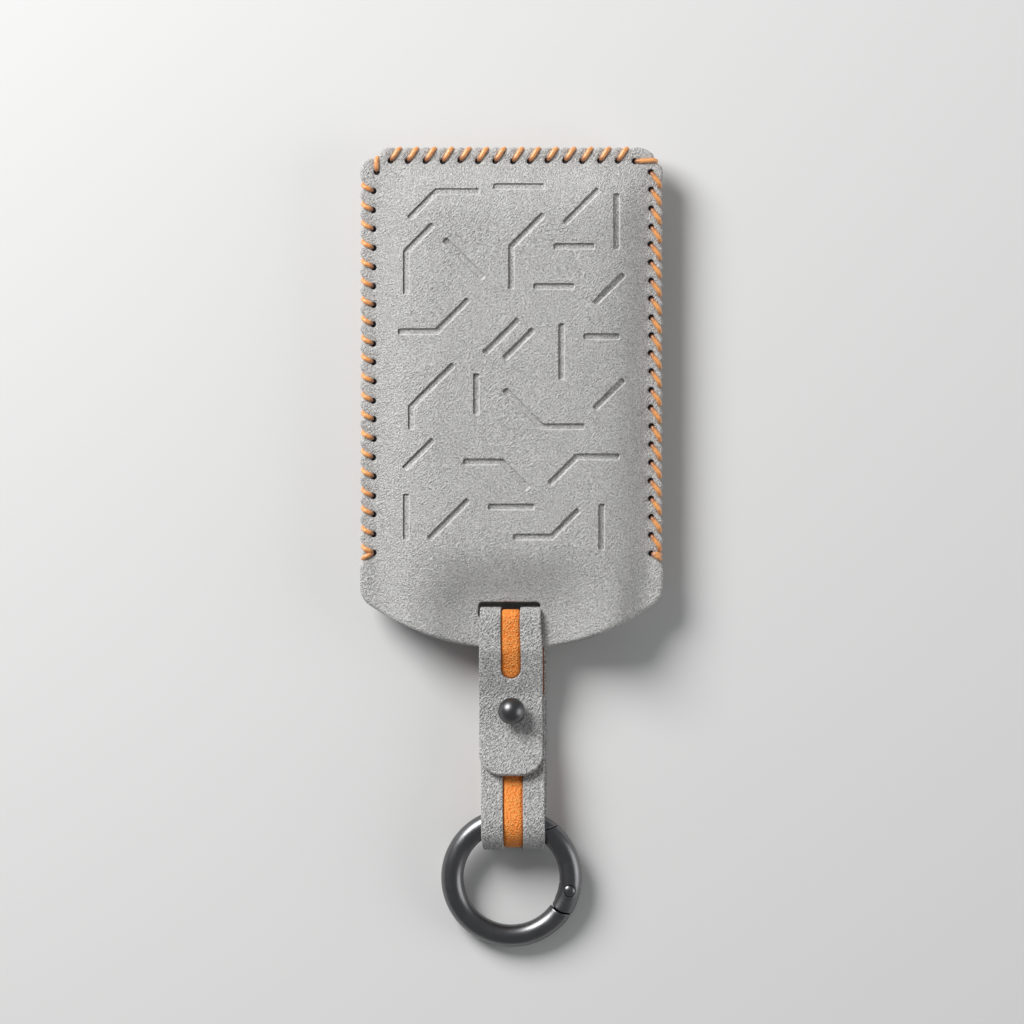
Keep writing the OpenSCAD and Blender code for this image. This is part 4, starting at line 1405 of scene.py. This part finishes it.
stageSet = {
    "floorSize": 6.0,
    "floorColor": (0.74, 0.74, 0.73, 1),
    "floorRoughness": 0.9,
    "world": 0.2,
    "worldColor": (0.95, 0.97, 1.0, 1),
    "lightTarget": (0, -0.02, 0),
    "keyPower": 9.8,
    "keySize": 0.52,
    "keyPlace": (-0.495, 0.48, 0.545),
    "fillPower": 4.4,
    "fillSize": 0.9,
    "fillPlace": (1.13, -0.15, 0.39),
    "sensorWidth": 36.0,
    "viewWidth": 0.2048,
    "viewMiddle": (0.0001, -0.023),
    "viewPlane": 0.008,
    "viewDistance": 2.4,
    "clip": (0.01, 20.0),
}


def makeStage():
    # The floor is clear from below, so that it hides nothing there
    half = stageSet["floorSize"] / 2
    mesh = bpy.data.meshes.new("floor")
    corners = [(-half, -half, 0), (half, -half, 0), (half, half, 0), (-half, half, 0)]
    mesh.from_pydata(corners, [], [(0, 1, 2, 3)])
    floor = addObject("floor", mesh)
    material, tree, shader = newMaterial("paleFloor")
    shader.inputs["Base Color"].default_value = stageSet["floorColor"]
    shader.inputs["Roughness"].default_value = stageSet["floorRoughness"]
    clear = addNode(tree, "ShaderNodeBsdfTransparent")
    mixer = addNode(tree, "ShaderNodeMixShader")
    side = addNode(tree, "ShaderNodeNewGeometry")
    tree.links.new(side.outputs["Backfacing"], mixer.inputs[0])
    tree.links.new(shader.outputs[0], mixer.inputs[1])
    tree.links.new(clear.outputs[0], mixer.inputs[2])
    tree.links.new(mixer.outputs[0], tree.nodes["Material Output"].inputs["Surface"])
    mesh.materials.append(material)


def areaLight(name, place, size, power):
    data = bpy.data.lights.new(name, "AREA")
    data.shape = "DISK"
    data.size = size
    data.energy = power
    light = addObject(name, data)
    light.location = place
    aim = Vector(stageSet["lightTarget"]) - Vector(place)
    light.rotation_euler = aim.to_track_quat("-Z", "Y").to_euler()


def makeLight():
    world = bpy.data.worlds.new("studio")
    world.use_nodes = True
    background = world.node_tree.nodes["Background"]
    background.inputs["Color"].default_value = stageSet["worldColor"]
    background.inputs["Strength"].default_value = stageSet["world"]
    bpy.context.scene.world = world
    for name in ("key", "fill"):
        areaLight(name, *(stageSet[name + k] for k in ("Place", "Size", "Power")))


def makeCamera():
    data = bpy.data.cameras.new("camera")
    data.sensor_width = stageSet["sensorWidth"]
    data.lens = data.sensor_width * stageSet["viewDistance"] / stageSet["viewWidth"]
    data.clip_start, data.clip_end = stageSet["clip"]
    camera = addObject("camera", data)
    camera.location = (*stageSet["viewMiddle"], stageSet["viewPlane"] + stageSet["viewDistance"])
    bpy.context.scene.camera = camera


makeStage()
makeLight()
makeCamera()
bpy.context.scene.view_settings.view_transform = "Standard"
print("stage, light and camera")
